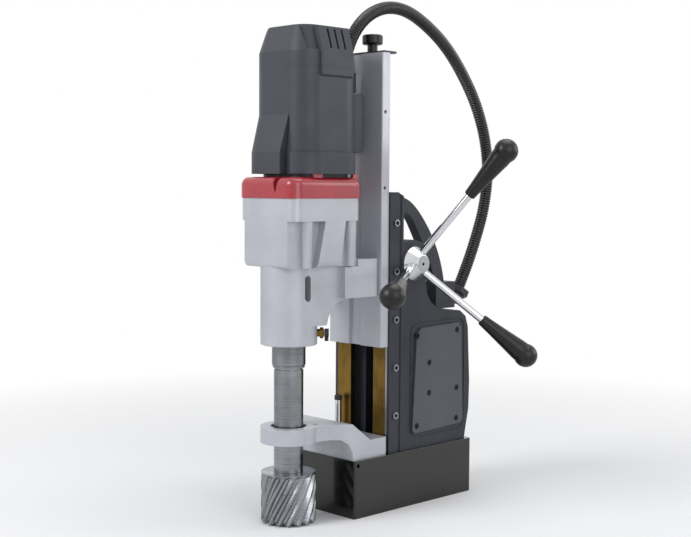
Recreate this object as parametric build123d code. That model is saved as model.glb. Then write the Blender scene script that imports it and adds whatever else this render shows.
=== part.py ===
"""Magnetic drill press with a Morse-taper spindle, an annular cutter and a three-arm capstan feed.

Frame: millimetres, +Z up. The origin is the centre of the magnet's bottom face. The spindle stands
towards -Y, the capstan is on +X, and the conduit loops over the back, towards +Y.
"""

import os
from math import acos, cos, degrees, pi, radians, sin, sqrt, tan

from build123d import *

# ---- Driving dimensions (mm) ----
# Magnet foot
magnet_length = 210.0
magnet_width = 101.0
magnet_height = 69.0
magnet_wall = 9.0
magnet_roof = 18.0
magnet_pole_width = 28.0
plate_height = 12.0
coil_recess = 0.5
coil_gap = 0.5

# Stand casting
stand_width = 93.0
stand_front = -43.5
stand_top = 385.0
slot_half = 42.5
slot_depth = 15.5
cheek_depth = 23.5
spine_half = 20.0
spine_depth = 22.0
box_rear = 106.0
box_top = 235.0
box_wall = 6.0
loop_half = 7.0
head_radius = 29.0

# Dovetail slide
slide_gap = 0.5
tongue_front_half = 19.0
tongue_depth = 15.0
dovetail_angle = 60.0
gib_clearance = 0.1
strip_thickness = 2.5
ram_width = 89.0
ram_thickness = 12.5
ram_bottom = 199.0
ram_top = 550.0
ram_groove_half = 10.0
ram_groove_depth = 4.0
feed_down = 66.0

# Rack, pinion and capstan
gear_module = 2.0
pinion_teeth = 12
rack_addendum = 1.4
rack_half = 7.0
tooth_backlash = 0.3
shaft_z = 298.0
shaft_radius = 10.0
running_clearance = 0.05
bush_radius = 13.0
hub_length = 13.0
hub_base_radius = 21.0
hub_end_radius = 10.7
arm_count = 3
arm_first_angle = 70.0
arm_reach = 145.5
arm_tilt = 35.0
rod_radius = 4.6
grip_end_radius = 14.5
grip_neck_radius = 7.0
grip_length = 84.0

# Drilling head
spindle_y = -164.0
nose_radius = 33.0
nose_bottom = 208.5
gear_half_width = 48.0
gear_front = -200.0
gear_rear = -92.0
gear_bottom = 299.0
gear_top = 378.0
gear_corner = 12.0
gear_wall = 6.0
bracket_half = 40.0
bracket_bottom = 261.0
bracket_top = 306.0
ring_top = 402.0
ring_overhang = 1.5
vent_gap = 3.5
motor_y = -138.0
motor_half = 46.0
motor_corner = 25.0
motor_wall = 4.0
motor_seam = 526.0
motor_shoulder = 544.0
motor_top = 573.5
cap_taper = 9.0
band_top = 430.0
band_overhang = 2.5
skirt_top = 473.0
skirt_flare = 8.0
skirt_top_x = 21.0
skirt_low_x = 15.0
scoop_depth = 2.5
spindle_radius = 19.6
spindle_bottom = 182.0
arbor_radius = 17.2
cutter_radius = 32.0
cutter_top = 59.5
cutter_bottom = 1.0
cutter_wall = 6.0
cutter_teeth = 16
shank_radius = 9.5
pilot_radius = 3.9

# Support arm on the magnet
arm_front_reach = 33.0
arm_bore = 21.0
arm_top = 113.0
arm_bottom = 94.5
foot_front = -104.0
foot_rear = -46.5
foot_top = 90.5

# Conduit, centre line in the plane X = 0
conduit_diameter = 15.5
conduit_route = [
    (-79, 533), (-71, 559), (-55, 584), (-31, 603), (0, 613), (34, 611), (72, 595), (108, 572),
    (139, 541), (168, 503), (188, 459), (196, 412), (188, 363), (171, 322), (154, 287), (136, 257),
]

# ---- Derived sizes ----
half_stand = stand_width / 2
slot_floor = stand_front + slot_depth
ram_back = stand_front - slide_gap
ram_front = ram_back - ram_thickness
ram_half = ram_width / 2
tongue_back = ram_back + tongue_depth
tongue_back_half = tongue_front_half + tongue_depth / tan(radians(dovetail_angle))
pitch_radius = gear_module * pinion_teeth / 2
tooth_pitch = pi * gear_module
hub_base_x = half_stand + 1.5
hub_end_x = hub_base_x + hub_length
motor_bottom = ring_top + vent_gap
motor_front = motor_y - motor_half
motor_rear = motor_y + motor_half


# ---- Helpers ----
def block(x0, x1, y0, y1, z0, z1):
    """Box between two corners."""
    return Pos((x0 + x1) / 2, (y0 + y1) / 2, (z0 + z1) / 2) * Box(x1 - x0, y1 - y0, z1 - z0)


def post(radius, x, y, z0, z1):
    """Upright cylinder."""
    return Pos(x, y, (z0 + z1) / 2) * Cylinder(radius, z1 - z0)


def bar_x(radius, x0, x1, y, z):
    """Cylinder along X."""
    return Pos((x0 + x1) / 2, y, z) * Rot(0, 90, 0) * Cylinder(radius, x1 - x0)


def bar_y(radius, x, y0, y1, z):
    """Cylinder along Y."""
    return Pos(x, (y0 + y1) / 2, z) * Rot(90, 0, 0) * Cylinder(radius, y1 - y0)


def side_plate(points, x0, x1):
    """Outline in (Y, Z) carried from x0 to x1."""
    face = make_face(Polyline(*[(x0, y, z) for y, z in points], close=True))
    return extrude(face, amount=x1 - x0, dir=(1, 0, 0))


def plan_plate(points, z0, z1):
    """Outline in (X, Y) carried from z0 to z1."""
    face = make_face(Polyline(*[(x, y, z0) for x, y in points], close=True))
    return extrude(face, amount=z1 - z0, dir=(0, 0, 1))


def front_plate(points, y0, y1):
    """Outline in (X, Z) carried from y0 to y1."""
    face = make_face(Polyline(*[(x, y0, z) for x, z in points], close=True))
    return extrude(face, amount=y1 - y0, dir=(0, 1, 0))


def rounded(half_x, y0, y1, corner, z0, z1):
    """Upright box centred on X = 0 with rounded vertical corners."""
    outline = RectangleRounded(2 * half_x, y1 - y0, corner)
    return extrude(Pos(0, (y0 + y1) / 2, z0) * outline, amount=z1 - z0)


def aimed(shape, start, direction):
    """Carries a shape built along +Z from the origin to start, along direction."""
    return Plane(origin=start, z_dir=direction).location * shape


def rod(radius, length):
    """Cylinder from the origin along +Z."""
    return Cylinder(radius, length, align=(Align.CENTER, Align.CENTER, Align.MIN))


def hexagon(across_flats, length):
    """Hexagonal bar from the origin along +Z."""
    return extrude(RegularPolygon(across_flats / 2, 6, major_radius=False), amount=length)


def socket_screw(shank, length, head, head_height):
    """Cap screw along +Z: shank below z = 0, round head above it with a hexagon socket."""
    body = rod(head, head_height) + Pos(0, 0, -length) * rod(shank, length)
    return body - Pos(0, 0, head_height * 0.45) * hexagon(head, head_height)


def save(name, *shapes):
    """Writes one node, as one solid or as a group of separate solids."""
    solids = [solid for shape in shapes for solid in shape.solids()]
    shape = solids[0] if len(solids) == 1 else Compound(children=solids)
    export_step(shape, f"parts/{name}.step")


# ---- Magnet foot ----
def magnet_housing():
    """Outer pole: a steel block hollowed from below."""
    half_x = magnet_width / 2
    half_y = magnet_length / 2
    body = block(-half_x, half_x, -half_y, half_y, 0, magnet_height)
    body = fillet(body.edges().filter_by(Axis.Z), 2.0)
    pocket_top = magnet_height - magnet_roof
    pocket = block(
        magnet_wall - half_x, half_x - magnet_wall, magnet_wall - half_y, half_y - magnet_wall, 0, pocket_top
    )
    tether_hole = bar_x(2.5, half_x - 8, half_x, 6 - half_y, magnet_height - 6)
    for x, y in foot_screw_places:
        body -= post(foot_screw_radius, x, y, pocket_top, magnet_height)
        body -= post(foot_screw_head, x, y, pocket_top, pocket_top + foot_screw_head)
    return body - pocket - tether_hole


def magnet_core():
    """Inner pole on a plate that fills the housing's roof."""
    half_x = magnet_width / 2 - magnet_wall
    half_y = magnet_length / 2 - magnet_wall
    roof = magnet_height - magnet_roof
    plate = block(-half_x, half_x, -half_y, half_y, roof - plate_height, roof)
    pole = magnet_pole_width / 2
    return plate + block(-pole, pole, pole - half_y, half_y - pole, 0, roof - plate_height)


def magnet_coil():
    """Winding cast in resin round the pole, almost flush with the magnet's underside."""
    half_x = magnet_width / 2 - magnet_wall - coil_gap
    half_y = magnet_length / 2 - magnet_wall - coil_gap
    roof = magnet_height - magnet_roof - plate_height
    pole = magnet_pole_width / 2
    edge = magnet_length / 2 - magnet_wall - pole + coil_gap
    winding = block(-half_x, half_x, -half_y, half_y, coil_recess, roof)
    return winding - block(-pole - coil_gap, pole + coil_gap, -edge, edge, coil_recess, roof)


# ---- Support arm, foot screws and feed stop ----
stop_x = -33.0
stop_y = (ram_front + ram_back) / 2 - 1.5
stop_radius = 4.2
stop_top = ram_bottom - feed_down - 1.0
bumper_height = 6.0
foot_screw_places = [(sx * 34.0, y) for sx in (-1, 1) for y in (-58.0, -84.0)]
foot_screw_radius = 3.0
foot_screw_head = 5.0
foot_screw_depth = 9.0


def support_arm():
    """Casting on the magnet: a foot across its front, and an arm out to a ring round the arbor."""
    half = half_stand
    waist = arm_front_reach - 6
    plan = plan_plate(
        [
            (-half, foot_rear), (half, foot_rear), (half, foot_front), (half - 6, foot_front - 9),
            (waist + 3, foot_front - 22), (waist, foot_front - 34), (waist, spindle_y),
            (-waist, spindle_y), (-waist, foot_front - 34), (-waist - 3, foot_front - 22),
            (6 - half, foot_front - 9), (-half, foot_front),
        ],
        magnet_height, arm_top,
    )
    plan += post(arm_front_reach, 0, spindle_y, magnet_height, arm_top)
    front = spindle_y - arm_front_reach - 1
    side = side_plate(
        [
            (foot_rear, magnet_height), (foot_rear, foot_top), (foot_front + 29, foot_top),
            (foot_front - 1, arm_top), (front, arm_top), (front, arm_bottom), (foot_front - 12, arm_bottom),
            (foot_front - 4, arm_bottom - 6), (foot_front, arm_bottom - 16), (foot_front, magnet_height),
        ],
        -half, half,
    )
    arm = plan & side
    arm -= post(arm_bore, 0, spindle_y, 0, arm_top + 1)
    arm = fillet(arm.edges().filter_by(Axis.Z).filter_by(lambda e: abs(e.center().Y - foot_rear) < 1), 3.0)
    arm -= post(stop_radius, stop_x, stop_y, foot_top - 12, foot_top)
    arm -= post(2.6, 16, spindle_y + arm_front_reach - 6, arm_bottom, arm_top)
    for x, y in foot_screw_places:
        arm -= post(foot_screw_radius, x, y, magnet_height, magnet_height + foot_screw_depth)
    return arm


def foot_screws():
    """Cap screws that come up through the magnet's roof into the arm's foot."""
    seat = magnet_height - magnet_roof + foot_screw_head
    length = magnet_height + foot_screw_depth - seat
    screw = Rot(180, 0, 0) * socket_screw(foot_screw_radius, length, foot_screw_head, foot_screw_head)
    return [Pos(x, y, seat) * screw for x, y in foot_screw_places]


def stop_pin():
    return post(stop_radius, stop_x, stop_y, foot_top - 12, stop_top - bumper_height)


def stop_bumper():
    bumper = post(stop_radius + 0.6, stop_x, stop_y, stop_top - bumper_height, stop_top)
    return fillet(bumper.edges().filter_by(GeomType.CIRCLE).sort_by(Axis.Z)[-1:], 1.2)


# ---- Stand ----
gib_screw_z = [stand_top - 37.0 - 58.4 * i for i in range(5)]
gib_screw_y = stand_front + 10.5
gib_screw_radius = 2.5
cover_rear = 86.0
cover_bottom = 91.0
cover_top = 218.0
cover_front = -1.0
cover_thickness = 2.5
cover_screw_places = [
    (4.0, cover_top - 9), (cover_rear - 8, cover_top - 7), (26.0, 174.0), (26.0, 136.0),
    (cover_rear - 8, 137.0), (4.0, cover_bottom + 6), (cover_rear - 8, cover_bottom + 7),
]
cavity = (-12.0, box_rear - 9, magnet_height + 9, box_top - 10)


def casing_outline():
    """Side outline of the stand behind its cheeks, from the foot round the gear head to the box."""
    return [
        (stand_front + cheek_depth, magnet_height), (stand_front + cheek_depth, shaft_z + 27),
        (0, shaft_z + head_radius), (14, shaft_z + 25), (24, shaft_z + 14), (28, shaft_z),
        (24, shaft_z - 14), (21, shaft_z - 24), (23, shaft_z - 38), (30, box_top + 14), (42, box_top + 6),
        (60, box_top + 2), (box_rear - 20, box_top), (box_rear - 9, box_top - 8), (box_rear - 4, box_top - 22),
        (box_rear, box_top - 92), (box_rear - 1, box_top - 128), (box_rear - 7, box_top - 155),
        (box_rear - 9, magnet_height),
    ]


def carry_loop():
    """Handle loop over the back of the stand."""
    outer = [(2, 378), (30, 375), (56, 354), (82, 318), (98, 276), (102, box_top)]
    inner = [(84, box_top), (81, 272), (66, 306), (47, 338), (33, 356), (2, 359)]
    top = Spline(*[(-loop_half, y, z) for y, z in outer])
    under = Spline(*[(-loop_half, y, z) for y, z in inner])
    foot = Line((-loop_half, outer[-1][0], outer[-1][1]), (-loop_half, inner[0][0], inner[0][1]))
    root = Line((-loop_half, inner[-1][0], inner[-1][1]), (-loop_half, outer[0][0], outer[0][1]))
    loop = extrude(make_face([top, foot, under, root]), amount=2 * loop_half, dir=(1, 0, 0))
    return loop


def stand_frame():
    """Main casting: dovetail housing with cheeks, gear head, carry loop and electrics box."""
    cheek_rear = stand_front + cheek_depth
    cheeks = side_plate(
        [
            (stand_front, magnet_height), (stand_front, stand_top), (cheek_rear - 8, stand_top),
            (cheek_rear, stand_top - 5), (cheek_rear, magnet_height),
        ],
        -half_stand, half_stand,
    )
    spine = block(-spine_half, spine_half, cheek_rear, cheek_rear + spine_depth, magnet_height, stand_top - 7)
    casing = side_plate(casing_outline(), -half_stand, half_stand)
    body = cheeks + spine + casing + carry_loop()
    body += bar_x(bush_radius + 10, half_stand - 1, half_stand + 1, 0, shaft_z)

    body -= block(-slot_half, slot_half, stand_front - 1, slot_floor, magnet_height, stand_top + 1)
    rack_channel = -pitch_radius + rack_addendum + 2.0
    body -= block(-rack_half - 1.5, rack_half + 1.5, slot_floor, rack_channel, magnet_height, stand_top + 1)
    body -= bar_x(bush_radius, -half_stand - 1, half_stand + 2, 0, shaft_z)
    body -= bar_x(pitch_radius + 3.5, -rack_half - 4, rack_half + 4, 0, shaft_z)

    y0, y1, z0, z1 = cavity
    hollow = block(-half_stand - 1, half_stand - box_wall, 6.0, y1, z0, z1)
    hollow += block(-half_stand - 1, -spine_half - 2, y0, 7.0, z0, z1)
    hollow += block(spine_half + 2, half_stand - box_wall, y0, 7.0, z0, z1)
    body -= hollow
    body -= block(half_stand - box_wall - 1, half_stand + 1, 10, cover_rear - 16, cover_bottom + 14, cover_top - 14)
    body -= cover_rim_groove()
    for sign in (-1, 1):
        groove_x = sorted((sign * (half_stand - 1.2), sign * (half_stand + 1)))
        body -= block(groove_x[0], groove_x[1], stand_front + 14.5, stand_front + 20, magnet_height, stand_top)
    for z in gib_screw_z:
        body -= bar_x(gib_screw_radius, slot_half - 1, half_stand + 1, gib_screw_y, z)
    for y, z in cover_screw_places:
        body -= bar_x(2.0, half_stand - box_wall, half_stand + 1, y, z)
    return body


def cover_rim_groove():
    """Shallow groove that frames the side cover."""
    y0, y1, z0, z1 = (cover_front - 7, cover_rear + 9, cover_bottom - 9, cover_top + 8)
    depth = half_stand - 1.0
    middle = Pos(depth, (y0 + y1) / 2, (z0 + z1) / 2) * Rot(0, 90, 0)
    outer = extrude(middle * RectangleRounded(z1 - z0, y1 - y0, 14), amount=3)
    inner = extrude(middle * RectangleRounded(z1 - z0 - 6, y1 - y0 - 6, 11), amount=3)
    return outer - inner


def right_gib():
    inner = tongue_front_half + slide_gap / tan(radians(dovetail_angle)) + gib_clearance
    back = inner + (slot_depth - 1) / tan(radians(dovetail_angle))
    outline = [
        (inner, stand_front), (slot_half - strip_thickness, stand_front),
        (slot_half - strip_thickness, slot_floor - 1), (back, slot_floor - 1),
    ]
    return plan_plate(outline, magnet_height + 2, stand_top - 2)


def left_gib():
    inner = tongue_front_half + slide_gap / tan(radians(dovetail_angle)) + gib_clearance
    back = inner + (slot_depth - 1) / tan(radians(dovetail_angle))
    outline = [
        (-inner, stand_front), (-slot_half, stand_front), (-slot_half, slot_floor - 1), (-back, slot_floor - 1),
    ]
    return plan_plate(outline, magnet_height + 2, stand_top - 2)


def gib_strip():
    return block(
        slot_half - strip_thickness, slot_half, stand_front, slot_floor - 1, magnet_height + 2, stand_top - 2
    )


def gib_screws():
    screws = []
    for z in gib_screw_z:
        screw = bar_x(gib_screw_radius, slot_half, half_stand + 2.2, gib_screw_y, z)
        screw -= Pos(half_stand + 0.6, gib_screw_y, z) * Rot(0, 90, 0) * hexagon(2.5, 3)
        screws.append(screw)
    return screws


def gib_nuts():
    nuts = []
    for z in gib_screw_z:
        nut = Pos(half_stand, gib_screw_y, z) * Rot(0, 90, 0) * hexagon(8.0, 2.0)
        nuts.append(nut - bar_x(gib_screw_radius, half_stand, half_stand + 3, gib_screw_y, z))
    return nuts


def side_cover():
    outline = [
        (cover_front + 4, cover_top - 6), (cover_front + 12, cover_top), (cover_rear - 6, cover_top + 2),
        (cover_rear, cover_top - 4), (cover_rear + 5, cover_bottom + 4), (cover_rear, cover_bottom),
        (cover_front, cover_bottom - 3), (cover_front - 3, cover_bottom + 2),
    ]
    plate = side_plate(outline, half_stand, half_stand + cover_thickness)
    plate = fillet(plate.edges().filter_by(Axis.X), 2.0)
    for y, z in cover_screw_places:
        plate -= bar_x(2.0, half_stand, half_stand + cover_thickness, y, z)
        plate -= bar_x(3.9, half_stand + 1.0, half_stand + cover_thickness, y, z)
    return plate


def side_cover_screws():
    screw = Rot(0, 90, 0) * (rod(3.6, 1.4) - Pos(0, 0, 0.5) * hexagon(2.5, 2) + Pos(0, 0, -6.5) * rod(1.9, 6.5))
    return [Pos(half_stand + 1.0, y, z) * screw for y, z in cover_screw_places]


# ---- Electrics on the left and back of the stand ----
panel_face = -half_stand - 14.0
start_place = (56.0, 196.0)
stop_place = (56.0, 160.0)
rocker_place = (56.0, 118.0)
dial_place = (18.0, 196.0)
lamp_place = (18.0, 160.0)
button_radius = 9.0
control_gap = 0.3
rocker_half_width = 14.0
rocker_half_height = 8.0
rocker_pin_radius = 1.5


def control_panel():
    """Closes the electrics box on the left and carries the switches."""
    y0, y1, z0, z1 = cavity
    shell = block(panel_face, -half_stand, y0 - 4, y1 + 4, z0 - 4, z1 + 4)
    shell = chamfer(shell.faces().sort_by(Axis.X)[0].edges(), 3.0)
    shell -= block(panel_face + 4, -half_stand, y0 + 2, y1 - 2, z0 + 2, z1 - 2)
    for y, z in (start_place, stop_place):
        shell -= bar_x(button_radius + control_gap, panel_face - 1, panel_face + 5, y, z)
    y, z = rocker_place
    half_y, half_z = rocker_half_width + 1, rocker_half_height + 2
    shell -= block(panel_face - 1, panel_face + 5, y - half_y, y + half_y, z - half_z, z + half_z)
    shell -= bar_x(3 + running_clearance, panel_face - 1, panel_face + 5, *dial_place)
    return shell - bar_x(4.0, panel_face - 1, panel_face + 5, *lamp_place)


def panel_button(place, travel_out):
    y, z = place
    cap = bar_x(button_radius, panel_face - travel_out, panel_face + 6, y, z)
    cap = fillet(cap.edges().filter_by(GeomType.CIRCLE).sort_by(Axis.X)[:1], 1.0)
    return cap + bar_x(3.0, panel_face + 6, panel_face + 12, y, z)


def magnet_rocker():
    """Rocker with its pivot at mid height, proud at its lower half."""
    y, z = rocker_place
    half = rocker_half_height
    outline = [
        (panel_face + 7, z - half), (panel_face - 4, z - half), (panel_face - 0.5, z), (panel_face - 1.5, z + half),
        (panel_face + 7, z + half),
    ]
    body = front_plate(outline, y - rocker_half_width, y + rocker_half_width)
    return body - bar_y(rocker_pin_radius, panel_face + 4, y - rocker_half_width, y + rocker_half_width, z)


def rocker_frame():
    """Snap-in frame of the rocker with its pivot pins."""
    y, z = rocker_place
    half_y, half_z = rocker_half_width + 1, rocker_half_height + 2
    frame = block(panel_face - 1.5, panel_face, y - half_y - 3, y + half_y + 3, z - half_z - 3, z + half_z + 3)
    frame += block(panel_face, panel_face + 9, y - half_y, y + half_y, z - half_z, z + half_z)
    inner_y, inner_z = half_y - 0.7, half_z - 0.6
    frame -= block(panel_face - 2, panel_face + 10, y - inner_y, y + inner_y, z - inner_z, z + inner_z)
    pin = bar_y(rocker_pin_radius - running_clearance, panel_face + 4, y - half_y, y + half_y, z)
    return frame + pin


def speed_dial():
    y, z = dial_place
    knob = bar_x(11.0, panel_face - 13, panel_face - 0.4, y, z)
    knob = chamfer(knob.edges().filter_by(GeomType.CIRCLE).sort_by(Axis.X)[:1], 1.5)
    mark = block(panel_face - 13, panel_face - 12, y - 1, y + 1, z + 2, z + 10)
    return knob - mark + bar_x(3.0, panel_face - 0.4, panel_face + 9, y, z)


def lamp():
    y, z = lamp_place
    lens = bar_x(4.0, panel_face - 2, panel_face + 6, y, z)
    return fillet(lens.edges().filter_by(GeomType.CIRCLE).sort_by(Axis.X)[:1], 1.8)


def control_board():
    """Circuit board on the inner wall with its tall parts."""
    y0, y1, z0, z1 = cavity
    board = block(8, 10, 14, y1 - 8, z0 + 8, z1 - 8)
    parts = block(-6, 8, 24, 44, z0 + 20, z0 + 50) + block(-10, 8, 56, 84, z0 + 16, z0 + 40)
    parts += bar_x(8.0, -14, 8, 34, z1 - 40) + bar_x(8.0, -14, 8, 62, z1 - 34)
    posts = [bar_x(3.0, 10, half_stand - box_wall, y, z) for y in (16, y1 - 10) for z in (z0 + 11, z1 - 11)]
    return (board + parts).fuse(*posts)


junction = (-16.0, 16.0, 74.0, 111.0, box_top, box_top + 34.0)
gland_direction = (0.0, 18.0, 30.0)


def junction_box():
    """Terminal box on the stand's box, behind the gear head, with the elbow of the conduit."""
    x0, x1, y0, y1, z0, z1 = junction
    body = block(x0, x1, y0, y1, z0, z1)
    body += bar_y(10.0, 0, y1 - 12, y1 + 8, z0 + 11) + Pos(0, y1 + 8, z0 + 11) * Sphere(10.0)
    body -= carry_loop() + side_plate(casing_outline(), -half_stand, half_stand)
    return body.solids().sort_by(SortBy.VOLUME)[-1]


def stand_gland():
    """Gland nut that holds the conduit's lower end."""
    end = conduit_route[-1]
    length = sqrt(gland_direction[1] ** 2 + gland_direction[2] ** 2)
    down = (0, -gland_direction[1] / length, -gland_direction[2] / length)
    nut = hexagon(27.0, 8.0) + Pos(0, 0, 8) * rod(11.0, 10.0)
    gland = aimed(nut, (0, end[0], end[1]), down)
    return gland - junction_box()


def mains_gland():
    """Gland of the mains cord, at the back of the electrics box."""
    z = cavity[2] + 24
    gland = bar_y(9.0, -20, box_rear - 12, box_rear + 8, z) + bar_y(7.0, -20, box_rear + 8, box_rear + 20, z)
    return gland - side_plate(casing_outline(), -half_stand, half_stand) - bar_y(4.0, -20, box_rear, box_rear + 21, z)


# ---- Feed slide ----
def ram():
    """Column that slides in the stand: a slab with a dovetail tongue behind it."""
    outline = [
        (-ram_half, ram_front), (ram_half, ram_front), (ram_half, ram_back), (tongue_front_half, ram_back),
        (tongue_back_half, tongue_back), (-tongue_back_half, tongue_back), (-tongue_front_half, ram_back),
        (-ram_half, ram_back),
    ]
    body = plan_plate(outline, ram_bottom, ram_top)
    body = chamfer(body.edges().filter_by(Axis.Z).filter_by(lambda e: e.center().Y < ram_front + 1), 1.0)
    groove_floor = ram_front + ram_groove_depth
    body -= block(-ram_groove_half, ram_groove_half, ram_front - 1, groove_floor, ram_bottom, ram_top)
    for z in (390.0, 480.0):
        body -= bar_x(2.2, ram_half - 8, ram_half, ram_front + 5, z)
    for x, z in ram_bolt_places:
        body -= bar_y(4.0, x, ram_front, tongue_back, z)
        body -= bar_y(ram_bolt_head + 0.4, x, tongue_back - 12, tongue_back, z)
    for z in rack_screw_z:
        body -= bar_y(2.5, 0, tongue_back - 12, tongue_back, z)
    return body - post(knob_stud_radius, knob_x, knob_y, ram_top - 20, ram_top)


rack_top = shaft_z + feed_down + 22.0
rack_bottom = ram_bottom + 2.0
rack_screw_z = [rack_bottom + 25, (rack_bottom + rack_top) / 2, rack_top - 25]
ram_bolt_head = 6.0
ram_bolt_places = [(x, z) for x in (-12.9, 12.9) for z in (bracket_bottom + 12, bracket_top - 12)]
knob_x = 0.0
knob_y = -29.0
knob_radius = 12.5
knob_neck = 11.0
knob_height = 12.0
knob_stud_radius = 4.0
plate_thickness = 2.5


def rack_tooth_outline():
    """Teeth and gaps of the rack in (Y, Z), with a gap at the height of the pinion's axis."""
    pitch_line = -pitch_radius
    root = pitch_line - gear_module
    tip = pitch_line + rack_addendum
    slope = tan(radians(20))
    tip_half = tooth_pitch / 4 - rack_addendum * slope - tooth_backlash / 2
    root_half = tooth_pitch / 4 + gear_module * slope - tooth_backlash / 2
    points = [(tongue_back, rack_bottom), (root, rack_bottom)]
    first = int((rack_bottom - shaft_z) / tooth_pitch) - 1
    last = int((rack_top - shaft_z) / tooth_pitch) + 1
    for i in range(first, last):
        z = shaft_z + (i + 0.5) * tooth_pitch
        if z - root_half > rack_bottom + 0.2 and z + root_half < rack_top - 0.2:
            points += [(root, z - root_half), (tip, z - tip_half), (tip, z + tip_half), (root, z + root_half)]
    return points + [(root, rack_top), (tongue_back, rack_top)]


def rack():
    body = side_plate(rack_tooth_outline(), -rack_half, rack_half)
    for z in rack_screw_z:
        body -= bar_y(2.5, 0, tongue_back, 0, z) + bar_y(4.6, 0, tongue_back + 3.5, 0, z)
    return body


def rack_screws():
    screw = Rot(-90, 0, 0) * (rod(4.4, 3.0) - Pos(0, 0, 1) * hexagon(3.0, 3) + Pos(0, 0, -13.5) * rod(2.5, 13.5))
    return [Pos(0, tongue_back + 3.5, z) * screw for z in rack_screw_z]


def ram_bolts():
    """Bolts from behind the tongue into the drilling head's bracket."""
    bolt = Rot(-90, 0, 0) * socket_screw(4.0, 40.0, ram_bolt_head, 8.0)
    return [Pos(x, tongue_back - 12, z) * bolt for x, z in ram_bolt_places]


def top_plate():
    plate = rounded(ram_half - 2, ram_front + 4, tongue_back - 1, 2.0, ram_top, ram_top + plate_thickness)
    return plate - post(knob_stud_radius, knob_x, knob_y, ram_top, ram_top + plate_thickness)


def top_knob():
    """Clamp knob with its stud, which turns in the ram's top."""
    base = ram_top + plate_thickness + 0.2
    stud = post(knob_stud_radius - running_clearance, knob_x, knob_y, ram_top - 18, base)
    neck = post(knob_radius / 2, knob_x, knob_y, base, base + knob_neck)
    head = post(knob_radius, knob_x, knob_y, base + knob_neck, base + knob_neck + knob_height)
    rims = head.edges().filter_by(GeomType.CIRCLE)
    return stud + neck + fillet(rims, 2.5)


# ---- Pinion and capstan ----
def pinion_tooth():
    """One involute tooth pointing along +Y in the (X, Y) plane of the gear."""
    pressure = radians(20)
    base = pitch_radius * cos(pressure)
    root = pitch_radius - gear_module * 1.15
    tip = pitch_radius + gear_module * 0.8
    involute = tan(pressure) - pressure
    half_angle = (pi / 2 - tooth_backlash / gear_module / 2) / pinion_teeth + involute

    def flank(radius, side):
        roll = acos(min(1.0, base / radius))
        angle = pi / 2 + side * (half_angle - (tan(roll) - roll))
        return (radius * cos(angle), radius * sin(angle))

    radii = [base + (tip - base) * i / 5 for i in range(6)]
    left = [flank(r, 1) for r in radii]
    right = [flank(r, -1) for r in reversed(radii)]
    foot = (root - 0.5) / base
    start = (left[0][0] * foot, left[0][1] * foot)
    end = (right[-1][0] * foot, right[-1][1] * foot)
    return make_face(Polyline(start, *left, *right, end, close=True)), root


def pinion_shaft():
    """Shaft across the gear head with the pinion cut on it and a stub for the hub."""
    tooth, root = pinion_tooth()
    gear = Circle(root)
    for i in range(pinion_teeth):
        gear += Rot(0, 0, 360 * i / pinion_teeth) * tooth
    solid = extrude(gear, amount=2 * rack_half + 2)
    solid = Pos(-rack_half - 1, 0, shaft_z) * Rot(0, 90, 0) * Rot(0, 0, 90) * solid
    shaft = bar_x(shaft_radius, -half_stand, half_stand + 1.2, 0, shaft_z)
    core = bar_x(root, -rack_half - 1, rack_half + 1, 0, shaft_z)
    ends = shaft - block(-rack_half - 1, rack_half + 1, -15, 15, shaft_z - 15, shaft_z + 15)
    stub = bar_x(8.0, half_stand + 1, hub_base_x + 5, 0, shaft_z)
    return solid + core + ends + stub


def pinion_bushes():
    bushes = []
    for x0, x1 in ((-half_stand, -rack_half - 4), (rack_half + 4, half_stand + 1)):
        bush = bar_x(bush_radius, x0, x1, 0, shaft_z)
        bushes.append(bush - bar_x(shaft_radius + running_clearance, x0, x1, 0, shaft_z))
    return bushes


arm_origin_x = hub_base_x - 4.0
arm_length = arm_reach / cos(radians(arm_tilt))
rod_start = 14.0


def arm_direction(i):
    """Direction of one capstan arm, tilted outwards."""
    angle = radians(arm_first_angle - 360 / arm_count * i)
    tilt = radians(arm_tilt)
    return (sin(tilt), cos(tilt) * cos(angle), cos(tilt) * sin(angle))


def on_arm(shape, i, distance):
    """Carries a shape built along +Z out along one arm."""
    x, y, z = arm_direction(i)
    start = (arm_origin_x + distance * x, distance * y, shaft_z + distance * z)
    return aimed(shape, start, (x, y, z))


def capstan_hub():
    hub = Pos((hub_base_x + hub_end_x) / 2, 0, shaft_z) * Rot(0, 90, 0) * Cone(
        hub_base_radius, hub_end_radius, hub_length
    )
    hub = fillet(hub.edges().filter_by(GeomType.CIRCLE).sort_by(Axis.X)[-1:], 0.6)
    hub -= bar_x(8.0, hub_base_x, hub_base_x + 7, 0, shaft_z)
    hub -= bar_x(2.0, hub_end_x - 8, hub_end_x, 0, shaft_z)
    for i in range(arm_count):
        hub -= on_arm(rod(rod_radius, 30), i, rod_start)
    return hub


def hub_screw():
    screw = rod(2.0, 7.6) - Pos(0, 0, 6) * hexagon(2.2, 3)
    return Pos(hub_end_x - 7.8, 0, shaft_z) * Rot(0, 90, 0) * screw


def capstan_rods():
    length = arm_length - rod_start
    return [on_arm(rod(rod_radius, length), i, rod_start) for i in range(arm_count)]


def capstan_grips():
    """Tapered grips with a ball end, bored for their rods."""
    neck = arm_length - grip_length + grip_end_radius
    taper = grip_length - grip_end_radius
    grip = Pos(0, 0, taper / 2) * Cone(grip_neck_radius, grip_end_radius * 0.985, taper)
    grip += Pos(0, 0, taper) * Sphere(grip_end_radius)
    grip -= rod(rod_radius, taper)
    return [on_arm(grip, i, neck) for i in range(arm_count)]


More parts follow.
